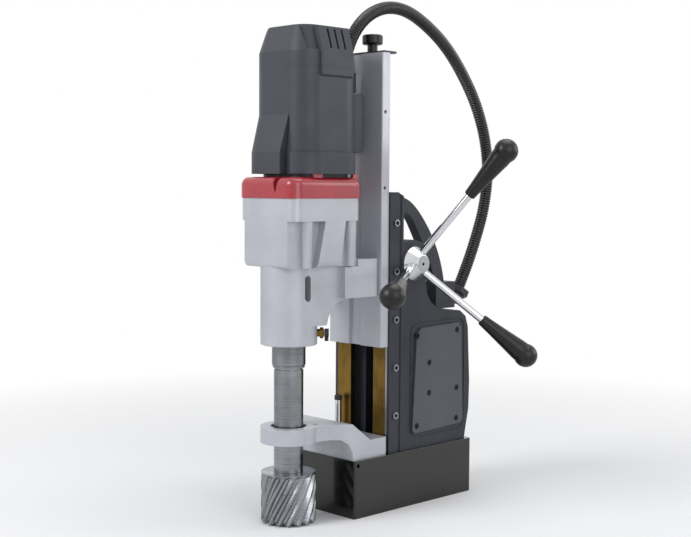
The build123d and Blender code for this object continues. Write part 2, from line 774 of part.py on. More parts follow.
# ---- Drilling head castings ----
well_boss_radius = 6.0
well_top = 352.0
well_depth = 11.0
well_wall = 2.5
rib_top_radius = 8.0
gear_floor = 9.0
hollow_corner = 16.0
case_edge = 7.0
lug_width = 3.5
head_screw_radius = 2.5
head_boss_radius = 10.0
head_screw_places = [(sx * 39.0, y) for sx in (-1, 1) for y in (gear_front + 27, gear_rear - 12)]


def gear_housing():
    """Gear case with its nose, the bracket to the ram and the web under it."""
    case = rounded(gear_half_width, gear_front, gear_rear, gear_corner, gear_bottom, gear_top)
    lower = case.faces().sort_by(Axis.Z)[0].edges()
    case = fillet(lower, case_edge)
    nose = post(nose_radius, 0, spindle_y, nose_bottom, gear_bottom + 4)
    nose = fillet(nose.edges().filter_by(GeomType.CIRCLE).sort_by(Axis.Z)[:1], 1.5)
    bracket = block(-bracket_half, bracket_half, gear_rear - 20, ram_front, bracket_bottom, bracket_top)
    bracket = fillet(bracket.edges().filter_by(Axis.Z).filter_by(lambda e: e.center().Y > gear_rear), 3.0)
    web_half = nose_radius - 0.5
    web = side_plate(
        [
            (gear_rear - 10, bracket_bottom), (-109, bracket_bottom - 2), (-118, bracket_bottom - 5),
            (-125, bracket_bottom - 11), (-131, bracket_bottom - 20), (-134, bracket_bottom - 30),
            (spindle_y, bracket_bottom - 30), (spindle_y, gear_bottom + 2), (gear_rear - 10, gear_bottom + 2),
        ],
        -web_half, web_half,
    )
    body = case + nose + bracket + web
    front, rear = gear_front + gear_wall, gear_rear - gear_wall
    floor, shelf = gear_bottom + gear_floor, well_top + 4
    body -= rounded(gear_half_width - well_depth - well_wall, front, rear, hollow_corner, floor, shelf)
    body -= rounded(gear_half_width - gear_wall, front, rear, 7, shelf, gear_top + 1)
    body += corner_bosses()
    body -= head_wells()
    body += well_ribs()
    for x, y in head_screw_places:
        body -= post(head_screw_radius + 2.1, x, y, gear_bottom - 1, gear_bottom + 12)
        body -= post(head_screw_radius, x, y, gear_bottom, gear_top)
    body -= post(spindle_radius + 6.4, 0, spindle_y, nose_bottom, nose_bottom + 18)
    body -= post(spindle_radius + 1.4, 0, spindle_y, nose_bottom, floor + 1)
    body -= drift_slot()
    body -= bar_x(4.0 + running_clearance, -gear_half_width - 1, 0, selector_y, selector_z)
    body -= aimed(rod(4.5, 20), fitting_root(6), fitting_direction)
    for x, z in ram_bolt_places:
        body -= bar_y(4.0, x, ram_front - 28, ram_front, z)
    return body


def corner_bosses():
    """Solid corners inside the gear case that the head screws pass through."""
    bosses = []
    for x, y in head_screw_places:
        bosses.append(post(head_boss_radius, x, y, well_top, gear_top))
    shell = rounded(gear_half_width, gear_front, gear_rear, gear_corner, well_top, gear_top)
    merged = bosses[0].fuse(*bosses[1:])
    return merged & shell


def head_wells():
    """Open pockets at the four lower corners, where the head screws are reached from below."""
    wells = None
    for sx in (-1, 1):
        for y_out, y_top, y_low in (
            (gear_front - 1, gear_front + 49, gear_front + 37),
            (gear_rear + 1, gear_rear - 27, gear_rear - 35),
        ):
            points = [(y_out, gear_bottom - 1), (y_out, well_top), (y_top, well_top), (y_low, gear_bottom - 1)]
            x0, x1 = sorted((sx * (gear_half_width - well_depth), sx * (gear_half_width + 1)))
            well = side_plate(points, x0, x1)
            wells = well if wells is None else wells + well
    return wells


def well_ribs():
    """Round ribs that stand in the pockets round the screws."""
    shell = rounded(
        gear_half_width - 1.5, gear_front + 1.5, gear_rear - 1.5, gear_corner, gear_bottom, well_top + 1
    )
    height = well_top + 1 - gear_bottom
    cone = Pos(0, 0, gear_bottom + height / 2) * Cone(well_boss_radius, rib_top_radius, height)
    ribs = [Pos(x, y, 0) * cone for x, y in head_screw_places]
    ribs = ribs[0].fuse(*ribs[1:]) & shell
    return ribs


def drift_slot():
    """Oval slot through the nose and the spindle for the drift key."""
    z0, z1 = drift_span
    half = 4.6
    slot = block(-nose_radius - 1, nose_radius + 1, spindle_y - half, spindle_y + half, z0 + half, z1 - half)
    for z in (z0 + half, z1 - half):
        slot += bar_x(half, -nose_radius - 1, nose_radius + 1, spindle_y, z)
    return slot


drift_span = (260.0, 290.0)
fitting_angle = radians(45)
fitting_direction = (cos(fitting_angle), sin(fitting_angle), 0.0)
fitting_z = 222.0


def fitting_root(depth):
    """Point inside the nose wall on the axis of the coolant fitting."""
    reach = nose_radius - depth
    return (reach * cos(fitting_angle), spindle_y + reach * sin(fitting_angle), fitting_z)


def head_screws():
    screw = Rot(180, 0, 0) * socket_screw(head_screw_radius, 80.0, 4.3, 5.0)
    return [Pos(x, y, gear_bottom + 12) * screw for x, y in head_screw_places]


def motor_flange_ring():
    """Domed ring between the gear case and the motor, with side lugs that keep an air gap."""
    front = gear_front - ring_overhang
    rear = gear_rear + ring_overhang
    half = gear_half_width + ring_overhang
    ring = rounded(half, front, rear, gear_corner + 1.5, gear_top, ring_top)
    top = ring.faces().sort_by(Axis.Z)[-1].edges()
    ring = fillet(top, 9.5)
    ring -= rounded(half - 20, front + 20, rear - 20, 18, gear_top - 1, ring_top + 1)
    notch_x = 18.0
    notch = front_plate([(notch_x - 6, ring_top + 1), (notch_x + 6, ring_top + 1), (notch_x, gear_top + 5)],
                        front - 1, front + 16)
    ring -= notch
    for y0, y1 in ring_lugs:
        for x0 in (collar_half, -collar_half - lug_width):
            ring += block(x0, x0 + lug_width, y0, y1, ring_top - 6, motor_bottom)
    for x, y in head_screw_places:
        ring -= post(2.5, x, y, gear_top, ring_top)
    return ring


collar_half = 40.0
ring_lugs = [(-166.0, -152.0), (-104.0, -96.0)]


def side_box(z0, z1):
    """Raised box on each side of the motor top, between two heights."""
    inset = motor_half - 7
    outline = [
        (inset, motor_seam - 13), (motor_half + 4, motor_seam - 9), (motor_half + 4, motor_shoulder),
        (motor_half - cap_taper + 4, motor_top - 1), (inset - 10, motor_top - 1),
        (inset - 10, motor_seam - 13),
    ]
    raised = front_plate(outline, motor_y - 21, motor_y + 28)
    raised = fillet(raised.edges().filter_by(Axis.Z).filter_by(lambda e: e.center().X > motor_half), 2.0)
    piece = raised & block(0, 100, motor_y - 60, motor_y + 60, z0, z1)
    return piece + mirror(piece, about=Plane.YZ)


def front_skirt():
    """Apron that flares forward and down from the motor body, beside the V-groove."""
    middle = motor_y - skirt_flare / 2
    square = RectangleRounded(2 * motor_half, 2 * motor_half, motor_corner)
    wide = RectangleRounded(2 * motor_half + skirt_flare, 2 * motor_half + skirt_flare, motor_corner)
    flare = loft([Pos(0, middle, band_top) * wide, Pos(0, motor_y, skirt_top) * square])
    flare += extrude(Pos(0, middle, motor_bottom) * wide, amount=band_top - motor_bottom)
    side = motor_half + skirt_flare
    kept = [
        (-side, skirt_top), (skirt_top_x, skirt_top), (skirt_low_x, band_top), (skirt_low_x, motor_bottom),
        (-side, motor_bottom),
    ]
    return flare & front_plate(kept, motor_front - skirt_flare - 1, motor_y)


def motor_housing():
    """Motor body: rounded square tube with a flared front skirt and a lower band."""
    corner = motor_corner
    body = rounded(motor_half, motor_front, motor_rear, corner, motor_bottom, motor_seam)
    band = motor_half + band_overhang
    body += rounded(band, motor_y - band, motor_y + band, corner + band_overhang, motor_bottom, band_top)
    body += front_skirt()
    groove = [
        (skirt_low_x, motor_bottom), (skirt_low_x + 11, motor_bottom), (skirt_top_x + 4, band_top + 8),
        (skirt_top_x + 0.5, skirt_top), (skirt_top_x, skirt_top), (skirt_low_x, band_top + 1),
    ]
    body -= front_plate(groove, motor_front - 20, motor_front + 1.5)
    body += side_box(motor_bottom, motor_seam)
    boss = rounded(14, motor_rear - 6, -68, 5, 503, motor_seam)
    body += boss
    body -= rounded(motor_half - motor_wall, motor_front + motor_wall, motor_rear - motor_wall,
                    corner - motor_wall, motor_bottom + 6, motor_seam + 1)
    collar_front, collar_rear = motor_y - collar_half, motor_y + collar_half
    body += rounded(collar_half, collar_front, collar_rear, motor_corner - 6, ring_top, motor_bottom)
    body -= post(collar_half - 9, 0, motor_y, ring_top - 1, motor_bottom + 7)
    return body - upper_gland_envelope()


def upper_gland_envelope():
    """Upper gland before it is trimmed to the parts round it."""
    gland = Pos(0, 0, -6) * rod(9.0, 26) + Pos(0, 0, 12) * rod(11.0, 8)
    return aimed(gland, upper_gland_start(), upper_direction())


def upper_direction():
    (y0, z0), (y1, z1) = conduit_route[:2]
    length = sqrt((y1 - y0) ** 2 + (z1 - z0) ** 2)
    return (0, (y1 - y0) / length, (z1 - z0) / length)


def upper_gland_start():
    direction = upper_direction()
    y, z = conduit_route[0]
    return (0, y - 20 * direction[1], z - 20 * direction[2])


def motor_gland():
    """Gland that holds the conduit's upper end, leaning back out of the motor's boss."""
    return upper_gland_envelope() - motor_cap_outer() - rounded(14, motor_rear - 6, -68, 5, 500, 503.0)


def motor_cap_outer(inset=0.0):
    """Outer shape of the cap, or the same drawn in by inset: upright, then drawn in above its shoulder."""
    half, corner = motor_half - inset, motor_corner - inset
    straight = rounded(half, motor_y - half, motor_y + half, corner, motor_seam, motor_shoulder)
    low = Pos(0, motor_y, motor_shoulder) * RectangleRounded(2 * half, 2 * half, corner)
    size = 2 * (half - cap_taper)
    high = Pos(0, motor_y, motor_top) * RectangleRounded(size, size, corner - 7)
    taper = loft([low, high])
    if inset == 0:
        taper = fillet(taper.faces().sort_by(Axis.Z)[-1].edges(), 2.5)
    return straight + taper


def motor_cap():
    """Rear cap of the motor with its side boxes, slots and corner scoops."""
    cap = motor_cap_outer() + side_box(motor_seam, motor_top)
    inner = motor_half - cap_taper - 7
    cap -= rounded(inner, motor_y - inner, motor_y + inner, 14, motor_seam - 1, motor_top - 5)
    for sign in (-1, 1):
        cap -= corner_scoop(sign)
        for y in (motor_y - 6.5, motor_y + 4.5, motor_y + 15.5):
            x0, x1 = sorted((sign * (motor_half - cap_taper + 0.5), sign * (motor_half + 8)))
            cap -= block(x0, x1, y - 1.3, y + 1.3, motor_shoulder + 3, motor_top - 4)
    return cap


def corner_scoop(sign):
    """Shallow recess in the cap between a front corner and the side box."""
    x0, x1 = sorted((sign * 20, sign * (motor_half + 10)))
    region = block(x0, x1, motor_front + 10, motor_y - 21, motor_shoulder + 1, motor_top + 1)
    return region - motor_cap_outer(scoop_depth)


def electronics_box():
    """Grey box on the back of the motor."""
    box = rounded(30, motor_rear, motor_rear + 22, 6, 432, 500)
    box = fillet(box.faces().sort_by(Axis.Z)[-1].edges(), 3.0)
    return box - rounded(26, motor_rear + 4, motor_rear + 18, 3, 436, 496)


# ---- Motor and gears ----
stator_span = (430.0, 480.0)
commutator_span = (494.0, 512.0)
armature_radius = 22.0


def field_stator():
    z0, z1 = stator_span
    ring = post(motor_half - motor_wall - 2, 0, motor_y, z0, z1)
    ring -= post(armature_radius + 0.8, 0, motor_y, z0, z1)
    feet = block(-motor_half + motor_wall, motor_half - motor_wall, motor_y - 8, motor_y + 8, z0, z1)
    feet -= post(motor_half - motor_wall - 3, 0, motor_y, z0, z1)
    coils = [block(x - 6, x + 6, motor_y - 24, motor_y + 24, z1, z1 + 8) for x in (-32, 32)]
    return (ring + feet).fuse(*coils)


def brush_holders():
    z = sum(commutator_span) / 2
    holders = []
    for sign in (-1, 1):
        x0, x1 = sorted((sign * 14.4, sign * (motor_half - motor_wall)))
        holder = block(x0, x1, motor_y - 6, motor_y + 6, z - 7, z + 7)
        holders.append(holder)
    return holders


def armature():
    """Laminated rotor with its commutator and a shaft that ends in the first pinion."""
    z0, z1 = stator_span
    body = post(armature_radius, 0, motor_y, z0, z1)
    body += post(14.0, 0, motor_y, *commutator_span)
    body += post(5.0, 0, motor_y, 378, 544)
    return body + post(motor_pinion_radius, 0, motor_y, 356, 378)


def cooling_fan():
    fan = post(34.0, 0, motor_y, 414, 417)
    for i in range(12):
        blade = Pos(22, 0, 420.5) * Box(20, 2, 7)
        fan += Pos(0, motor_y, 0) * Rot(0, 0, 30 * i) * blade
    fan += post(10.0, 0, motor_y, 414, 426)
    return fan - post(5.0, 0, motor_y, 413, 427)


def bearings():
    """Ball bearings as plain rings: two on the spindle, two on the armature, two on the layshaft."""
    seats = [
        (spindle_radius, spindle_radius + 6.4, 0, spindle_y, nose_bottom + 2, nose_bottom + 18),
        (12.0, 20.0, 0, spindle_y, 366, 376),
        (5.0, 13.0, 0, motor_y, 382, 392),
        (5.0, 13.0, 0, motor_y, 533, 542),
        (6.0, 12.0, layshaft_place[0], layshaft_place[1], 308, 314),
        (6.0, 12.0, layshaft_place[0], layshaft_place[1], 366, 376),
    ]
    rings = []
    for inner, outer, x, y, z0, z1 in seats:
        rings.append(post(outer, x, y, z0, z1) - post(inner + 0.04, x, y, z0, z1))
    return rings


layshaft_place = (20.0, -135.0)
motor_pinion_radius = 4.5
wheel_radius = sqrt(layshaft_place[0] ** 2 + (layshaft_place[1] - motor_y) ** 2) - motor_pinion_radius - 0.2
spindle_gear_radius = 28.0
lay_pinion_radius = sqrt(layshaft_place[0] ** 2 + (layshaft_place[1] - spindle_y) ** 2) - spindle_gear_radius - 0.2


def layshaft():
    """Intermediate shaft: first wheel from the armature and a pinion for the spindle gear."""
    x, y = layshaft_place
    shaft = post(6.0, x, y, 308, 376)
    return shaft + post(wheel_radius, x, y, 357, 364) + post(lay_pinion_radius, x, y, 318, 340)


def gear_plate():
    """Plate over the gear case that carries the upper bearings."""
    plate = rounded(gear_half_width - gear_wall, gear_front + gear_wall, gear_rear - gear_wall, 7, 366, gear_top)
    for x, y in head_screw_places:
        plate -= post(head_boss_radius + 0.2, x, y, 365, gear_top + 1)
    plate -= post(20.0, 0, spindle_y, 366, 376)
    plate -= post(12.0, *layshaft_place, 366, 376)
    return plate - post(6.5, 0, motor_y, 365, gear_top + 1)


def spindle():
    """Hollow spindle with a tapered socket and its large gear."""
    body = post(spindle_radius, 0, spindle_y, spindle_bottom + 2.4, 330)
    body = chamfer(body.edges().filter_by(GeomType.CIRCLE).sort_by(Axis.Z)[:1], 0.8)
    body += post(12.0, 0, spindle_y, 330, 376) + post(spindle_gear_radius, 0, spindle_y, 320, 338)
    body -= Pos(0, spindle_y, (spindle_bottom + 262) / 2) * Cone(15.5, 12.0, 262 - spindle_bottom)
    return body - drift_slot()


def arbor():
    """Tapered arbor that carries the cutter, with a groove under the spindle."""
    body = post(arbor_radius, 0, spindle_y, cutter_top, spindle_bottom - 2.5)
    body += post(arbor_radius - 1.4, 0, spindle_y, spindle_bottom - 3, spindle_bottom + 0.5)
    body += post(arbor_radius + 1.6, 0, spindle_y, spindle_bottom, spindle_bottom + 2.4)
    taper = Pos(0, spindle_y, (spindle_bottom + 262) / 2) * Cone(15.5, 12.0, 262 - spindle_bottom)
    body += taper
    body -= post(shank_radius, 0, spindle_y, cutter_top - 1, 112)
    body -= post(pilot_radius + 0.3, 0, spindle_y, 100, 140)
    for z in (cutter_top + 12, cutter_top + 28):
        body -= bar_x(3.5, -arbor_radius - 1, -shank_radius, spindle_y, z)
    return body


def arbor_set_screws():
    screws = []
    for z in (cutter_top + 12, cutter_top + 28):
        screw = bar_x(3.5, -arbor_radius + 0.6, -shank_radius - 0.6, spindle_y, z)
        screws.append(screw - Pos(-arbor_radius + 0.6, spindle_y, z) * Rot(0, 90, 0) * hexagon(3.0, 3))
    return screws


def annular_cutter():
    """Cutter: shank, closed top and a toothed crown with slanting gullets."""
    body = post(cutter_radius, 0, spindle_y, cutter_bottom, cutter_top)
    body -= post(cutter_radius - cutter_wall, 0, spindle_y, cutter_bottom - 1, cutter_top - 9)
    body += post(shank_radius, 0, spindle_y, cutter_top - 9, 111)
    body -= post(pilot_radius + running_clearance, 0, spindle_y, cutter_top - 10, 112)
    lean = 28.0
    for i in range(cutter_teeth):
        gullet = Pos(cutter_radius + 1.2, 0, 0) * Rot(lean, 0, 0) * Box(6.0, 5.4, 90)
        place = Pos(0, spindle_y, (cutter_bottom + cutter_top) / 2 - 8)
        body -= place * Rot(0, 0, 360 / cutter_teeth * i) * gullet & post(
            cutter_radius + 6, 0, spindle_y, cutter_bottom - 5, cutter_top - 8
        )
    return body


def pilot_pin():
    """Ejector pin that slides up through the cutter when the tip meets the work."""
    tip = Pos(0, spindle_y, cutter_bottom + 2.5) * Cone(0.6, pilot_radius, 5)
    return tip + post(pilot_radius, 0, spindle_y, cutter_bottom + 5, 104)


# ---- Coolant fitting ----
def coolant_fitting():
    """Brass insert in the nose with a black collar and a short spout."""
    insert = rod(4.5, 14)
    collar = Pos(0, 0, 9) * rod(6.5, 4)
    return aimed(insert + collar, fitting_root(6), fitting_direction) - post(
        spindle_radius + 6.4, 0, spindle_y, fitting_z - 10, fitting_z + 1
    )


def coolant_lever():
    """Small lever that turns on the fitting's end."""
    hub = Pos(0, 0, 14.4) * rod(5.0, 5)
    lever = aimed(hub, fitting_root(6), fitting_direction)
    x, y, _ = fitting_root(-10.9)
    return lever + Pos(x, y, fitting_z - 4) * Box(3.2, 3.2, 11)


selector_y = -122.0
selector_z = 340.0


def speed_selector():
    """Knob on the left of the gear case that shifts between two gears."""
    face = -gear_half_width
    knob = bar_x(15.0, face - 14, face - 0.4, selector_y, selector_z)
    knob = chamfer(knob.edges().filter_by(GeomType.CIRCLE).sort_by(Axis.X)[:1], 2.0)
    grip = block(face - 14, face - 5, selector_y - 14, selector_y - 5, selector_z - 16, selector_z + 16)
    grip += block(face - 14, face - 5, selector_y + 5, selector_y + 14, selector_z - 16, selector_z + 16)
    return knob - grip + bar_x(4.0, face - 0.4, face + gear_wall + 3, selector_y, selector_z)


# ---- Conduit ----
def conduit():
    """Corrugated conduit as a plain tube along straight runs and tangent arcs."""
    points = [Vector(0, y, z) for y, z in conduit_route]
    radii = []
    for before, corner, after in zip(points, points[1:], points[2:]):
        first, second = corner - before, after - corner
        turn = radians(first.get_angle(second))
        radii.append(0.45 * min(first.length, second.length) / tan(turn / 2))
    path = FilletPolyline(*points, radius=radii)
    direction = points[1] - points[0]
    section = Plane(origin=points[0], z_dir=direction) * Circle(conduit_diameter / 2)
    tube = sweep(section, path=path)
    expected = pi * conduit_diameter**2 / 4 * path.length
    print("conduit radii", [round(r) for r in radii], "least over diameter", round(min(radii) / conduit_diameter, 2))
    print("conduit length", round(path.length, 1), "volume over section x length", round(tube.volume / expected, 4))
    return tube


def main():
    os.makedirs("parts", exist_ok=True)
    save("magnet_housing", magnet_housing())
    save("magnet_core", magnet_core())
    save("magnet_coil", magnet_coil())
    save("support_arm", support_arm())
    save("foot_screws", *foot_screws())
    save("stop_pin", stop_pin())
    save("stop_bumper", stop_bumper())
    save("stand_frame", stand_frame())
    save("left_gib", left_gib())
    save("right_gib", right_gib())
    save("gib_strip", gib_strip())
    save("gib_screws", *gib_screws())
    save("gib_nuts", *gib_nuts())
    save("side_cover", side_cover())
    save("side_cover_screws", *side_cover_screws())
    save("control_panel", control_panel())
    save("start_button", panel_button(start_place, 3.0))
    save("stop_button", panel_button(stop_place, 5.0))
    save("magnet_rocker", magnet_rocker())
    save("rocker_frame", rocker_frame())
    save("speed_dial", speed_dial())
    save("indicator_lamp", lamp())
    save("control_board", control_board())
    save("junction_box", junction_box())
    save("cable_glands", stand_gland(), mains_gland())
    save("ram", ram())
    save("rack", rack())
    save("rack_screws", *rack_screws())
    save("ram_bolts", *ram_bolts())
    save("top_plate", top_plate())
    save("top_knob", top_knob())
    save("pinion_shaft", pinion_shaft())
    save("pinion_bushes", *pinion_bushes())
    save("capstan_hub", capstan_hub())
    save("hub_screw", hub_screw())
    save("capstan_rods", *capstan_rods())
    save("capstan_grips", *capstan_grips())
    save("gear_housing", gear_housing())
    save("head_screws", *head_screws())
    save("motor_flange_ring", motor_flange_ring())
    save("motor_housing", motor_housing())
    save("motor_cap", motor_cap())
    save("motor_gland", motor_gland())
    save("electronics_box", electronics_box())
    save("field_stator", field_stator())
    save("brush_holders", *brush_holders())
    save("armature", armature())
    save("cooling_fan", cooling_fan())
    save("bearings", *bearings())
    save("layshaft", layshaft())
    save("gear_plate", gear_plate())
    save("spindle", spindle())
    save("arbor", arbor())
    save("arbor_set_screws", *arbor_set_screws())
    save("annular_cutter", annular_cutter())
    save("pilot_pin", pilot_pin())
    save("coolant_fitting", coolant_fitting())
    save("coolant_lever", coolant_lever())
    save("speed_selector", speed_selector())
    save("conduit", conduit())


if __name__ == "__main__":
    main()
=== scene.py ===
"""Looks of a magnetic drill press: finishes, modelled detail, studio and camera round the CAD frame."""

import logging
from dataclasses import dataclass, field
from enum import Enum
from math import cos, pi, radians, sin, tan, tau

import bmesh
import bpy
from mathutils import Matrix, Vector


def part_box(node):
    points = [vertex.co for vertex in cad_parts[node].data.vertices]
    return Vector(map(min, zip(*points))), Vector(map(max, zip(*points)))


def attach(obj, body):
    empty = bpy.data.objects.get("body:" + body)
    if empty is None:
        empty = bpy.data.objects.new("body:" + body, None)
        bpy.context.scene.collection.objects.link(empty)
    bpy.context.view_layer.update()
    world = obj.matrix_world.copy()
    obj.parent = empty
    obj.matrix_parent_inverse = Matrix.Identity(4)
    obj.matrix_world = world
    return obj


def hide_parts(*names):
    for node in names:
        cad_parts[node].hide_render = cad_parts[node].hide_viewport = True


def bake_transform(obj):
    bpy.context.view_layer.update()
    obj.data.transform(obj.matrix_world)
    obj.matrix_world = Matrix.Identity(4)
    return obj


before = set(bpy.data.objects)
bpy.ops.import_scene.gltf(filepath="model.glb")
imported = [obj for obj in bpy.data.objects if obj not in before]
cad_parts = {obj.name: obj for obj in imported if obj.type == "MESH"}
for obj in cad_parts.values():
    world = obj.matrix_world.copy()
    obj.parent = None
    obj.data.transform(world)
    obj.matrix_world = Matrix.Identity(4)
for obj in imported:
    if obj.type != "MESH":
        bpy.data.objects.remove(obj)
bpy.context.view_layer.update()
log = logging.getLogger("drill")

MM = 0.001
COAT_ROUGHNESS = 0.08
LEAST_ROUGHNESS = 0.02


# ---- Node and colour helpers ----
def linear(hex_colour: str) -> tuple[float, float, float, float]:
    """Turns an sRGB colour into the linear values that a shader takes.

    Args:
        hex_colour: Six hex digits.

    Returns:
        Red, green, blue and alpha.
    """
    parts = [int(hex_colour[i : i + 2], 16) / 255 for i in (0, 2, 4)]
    red, green, blue = [c / 12.92 if c <= 0.04045 else ((c + 0.055) / 1.055) ** 2.4 for c in parts]
    return (red, green, blue, 1.0)


def add_node(tree: bpy.types.NodeTree, kind: str, settings: dict | None = None, **inputs) -> bpy.types.Node:
    """Adds one node with its settings, values and links.

    Args:
        tree: Tree that gets the node.
        kind: The node's type.
        settings: Properties of the node.
        **inputs: A value or an output socket for each input, by name with _ for a space, or by number
            as i0, i1.

    Returns:
        The node.
    """
    node = tree.nodes.new(kind)
    for key, value in (settings or {}).items():
        setattr(node, key, value)
    for key, value in inputs.items():
        numbered = key[0] == "i" and key[1:].isdigit()
        socket = node.inputs[int(key[1:])] if numbered else node.inputs[key.replace("_", " ")]
        if isinstance(value, bpy.types.NodeSocket):
            tree.links.new(value, socket)
        else:
            socket.default_value = value
    return node


def new_geometry_tree(label: str, inputs: tuple[tuple[str, str], ...], output: str) -> bpy.types.NodeTree:
    """Starts a Geometry Nodes tree with its named inputs and one geometry output.

    Args:
        label: Name of the tree.
        inputs: Name and socket type of each input, in order.
        output: Name of the output.

    Returns:
        The tree, with no nodes yet.
    """
    tree = bpy.data.node_groups.new(label, "GeometryNodeTree")
    for name, kind in inputs:
        tree.interface.new_socket(name, in_out="INPUT", socket_type=kind)
    tree.interface.new_socket(output, in_out="OUTPUT", socket_type="NodeSocketGeometry")
    return tree


def set_inputs(piece: bpy.types.Object, label: str, tree: bpy.types.NodeTree, values: dict) -> None:
    """Gives an object a Geometry Nodes modifier and sets its inputs by socket identifier.

    Args:
        piece: Object that gets the modifier.
        label: Name of the modifier.
        tree: Tree that it runs.
        values: Value of each input, by the input's name.
    """
    modifier = piece.modifiers.new(label, "NODES")
    modifier.node_group = tree
    for item in tree.interface.items_tree:
        if item.in_out == "INPUT" and item.name in values:
            modifier[item.identifier] = values[item.name]


# ---- Finishes ----
class Grain(Enum):
    """Stretch of a surface pattern along X, Y and Z: one is even, a small share makes streaks."""

    EVEN = (1.0, 1.0, 1.0)
    ALONG_X = (0.03, 1.0, 1.0)
    ALONG_Y = (1.0, 0.03, 1.0)
    ALONG_Z = (1.0, 1.0, 0.03)
    ROUND_Z = (0.004, 0.004, 1.0)
    ROUND_X = (1.0, 0.004, 0.004)


@dataclass(frozen=True)
class Finish:
    """One real surface: its colours, gloss, grain and edge wear. Lengths are in millimetres."""

    name: str
    colour: str
    shade: str
    roughness: float
    metallic: float = 0.0
    spread: float = 0.08
    grain: Grain = Grain.EVEN
    grain_size: float = 1.0
    relief: float = 0.02
    coat: float = 0.0
    edge: float = 0.5
    wear: str = ""
    specular: float = 0.5
    patch_size: float = 35.0

    def material(self) -> bpy.types.Material:
        """Builds the material, or finds it if another piece has it already.

        Returns:
            The material.
        """
        if self.name in bpy.data.materials:
            return bpy.data.materials[self.name]
        material = bpy.data.materials.new(self.name)
        material.use_nodes = True
        tree = material.node_tree
        shader = tree.nodes["Principled BSDF"]
        place = add_node(tree, "ShaderNodeTexCoord").outputs["Object"]
        stretch = [share / (self.grain_size * MM) for share in self.grain.value]
        grain = add_node(tree, "ShaderNodeMapping", Vector=place, Scale=stretch)
        fine = add_node(
            tree, "ShaderNodeTexNoise", Vector=grain.outputs[0], Scale=1.0, Detail=3.0, Roughness=0.6
        )
        broad = add_node(
            tree, "ShaderNodeTexNoise", Vector=place, Scale=1 / (self.patch_size * MM), Detail=2.0
        )
        blotch = add_node(
            tree, "ShaderNodeMath", {"operation": "MULTIPLY"},
            i0=fine.outputs["Fac"], i1=broad.outputs["Fac"],
        )
        mixed = add_node(tree, "ShaderNodeMapRange", Value=blotch.outputs[0], i1=0.12, i2=0.38)
        tint = add_node(
            tree, "ShaderNodeMix", {"data_type": "RGBA"},
            i0=mixed.outputs[0], i6=linear(self.colour), i7=linear(self.shade),
        )
        rough = add_node(
            tree, "ShaderNodeMapRange", Value=blotch.outputs[0], i1=0.1, i2=0.4,
            i3=max(LEAST_ROUGHNESS, self.roughness - self.spread), i4=self.roughness + self.spread,
        )
        soft = add_node(tree, "ShaderNodeBevel", {"samples": 4}, Radius=self.edge * MM)
        bump = add_node(
            tree, "ShaderNodeBump", Strength=1.0, Distance=self.relief * MM,
            Height=fine.outputs["Fac"], Normal=soft.outputs[0],
        )
        colour = tint.outputs[2]
        if self.wear:
            colour = self.worn(tree, colour, soft.outputs[0], broad.outputs["Fac"])
        tree.links.new(colour, shader.inputs["Base Color"])
        tree.links.new(rough.outputs[0], shader.inputs["Roughness"])
        tree.links.new(bump.outputs[0], shader.inputs["Normal"])
        shader.inputs["Metallic"].default_value = self.metallic
        shader.inputs["Specular IOR Level"].default_value = self.specular
        shader.inputs["Coat Weight"].default_value = self.coat
        shader.inputs["Coat Roughness"].default_value = COAT_ROUGHNESS
        return material

    def worn(
        self, tree: bpy.types.NodeTree, colour: bpy.types.NodeSocket, soft: bpy.types.NodeSocket,
        patches: bpy.types.NodeSocket,
    ) -> bpy.types.NodeSocket:
        """Lets the paint look rubbed on its edges.

        Args:
            tree: The material's tree.
            colour: Colour before the wear.
            soft: Normal with its edges rounded, which leaves the true normal near an edge only.
            patches: Broad noise that breaks the wear up.

        Returns:
            The colour with its wear.
        """
        true = add_node(tree, "ShaderNodeNewGeometry").outputs["Normal"]
        near = add_node(tree, "ShaderNodeVectorMath", {"operation": "DOT_PRODUCT"}, i0=true, i1=soft)
        edge = add_node(tree, "ShaderNodeMapRange", Value=near.outputs["Value"], i1=0.99, i2=0.86)
        rubbed = add_node(tree, "ShaderNodeMath", {"operation": "MULTIPLY"}, i0=edge.outputs[0], i1=patches)
        mixed = add_node(
            tree, "ShaderNodeMix", {"data_type": "RGBA"},
            i0=rubbed.outputs[0], i6=colour, i7=linear(self.wear),
        )
        return mixed.outputs[2]


# Black stoved enamel on ground steel: deep and glossy, with a faint orange peel.
BLACK_ENAMEL = Finish("black stoved enamel", "0d0c0d", "131213", 0.2, spread=0.04, grain_size=2.5,
                      relief=0.03, coat=0.6, edge=0.8, wear="6a6668", specular=0.28)
# Graphite powder coat, baked with a fine texture: matt grain that breaks up every highlight.
GRAPHITE_COAT = Finish("graphite powder coat", "33363d", "2d3036", 0.5, grain_size=0.9, relief=0.09,
                       edge=0.9, wear="5c606a", specular=0.3)
# Satin grey paint on pressed sheet: smoother and a little lighter than the casting round it.
PLATE_PAINT = Finish("satin grey sheet paint", "4c4e56", "464850", 0.38, grain_size=1.6, relief=0.02,
                     edge=0.4)
# Silver paint on cast aluminium: pale, slightly mottled, with the casting's soft skin under it.
SILVER_PAINT = Finish("silver paint on cast aluminium", "bfc1c8", "b1b3bb", 0.36, metallic=0.25,
                      grain_size=1.4, relief=0.025, coat=0.1, edge=0.9, wear="dcdde2")
# Turned aluminium, polished: bright with fine rings round its axis.
TURNED_ALUMINIUM = Finish("turned aluminium", "d4d5d8", "bcbdc2", 0.2, metallic=1.0, spread=0.06,
                          grain=Grain.ROUND_X, grain_size=0.5, relief=0.01, edge=0.5)
# Flat milled aluminium for hidden plates: even and satin.
MILLED_ALUMINIUM = Finish("milled aluminium", "c0c1c5", "a9abb0", 0.35, metallic=1.0, grain=Grain.ALONG_Y,
                          grain_size=0.6)
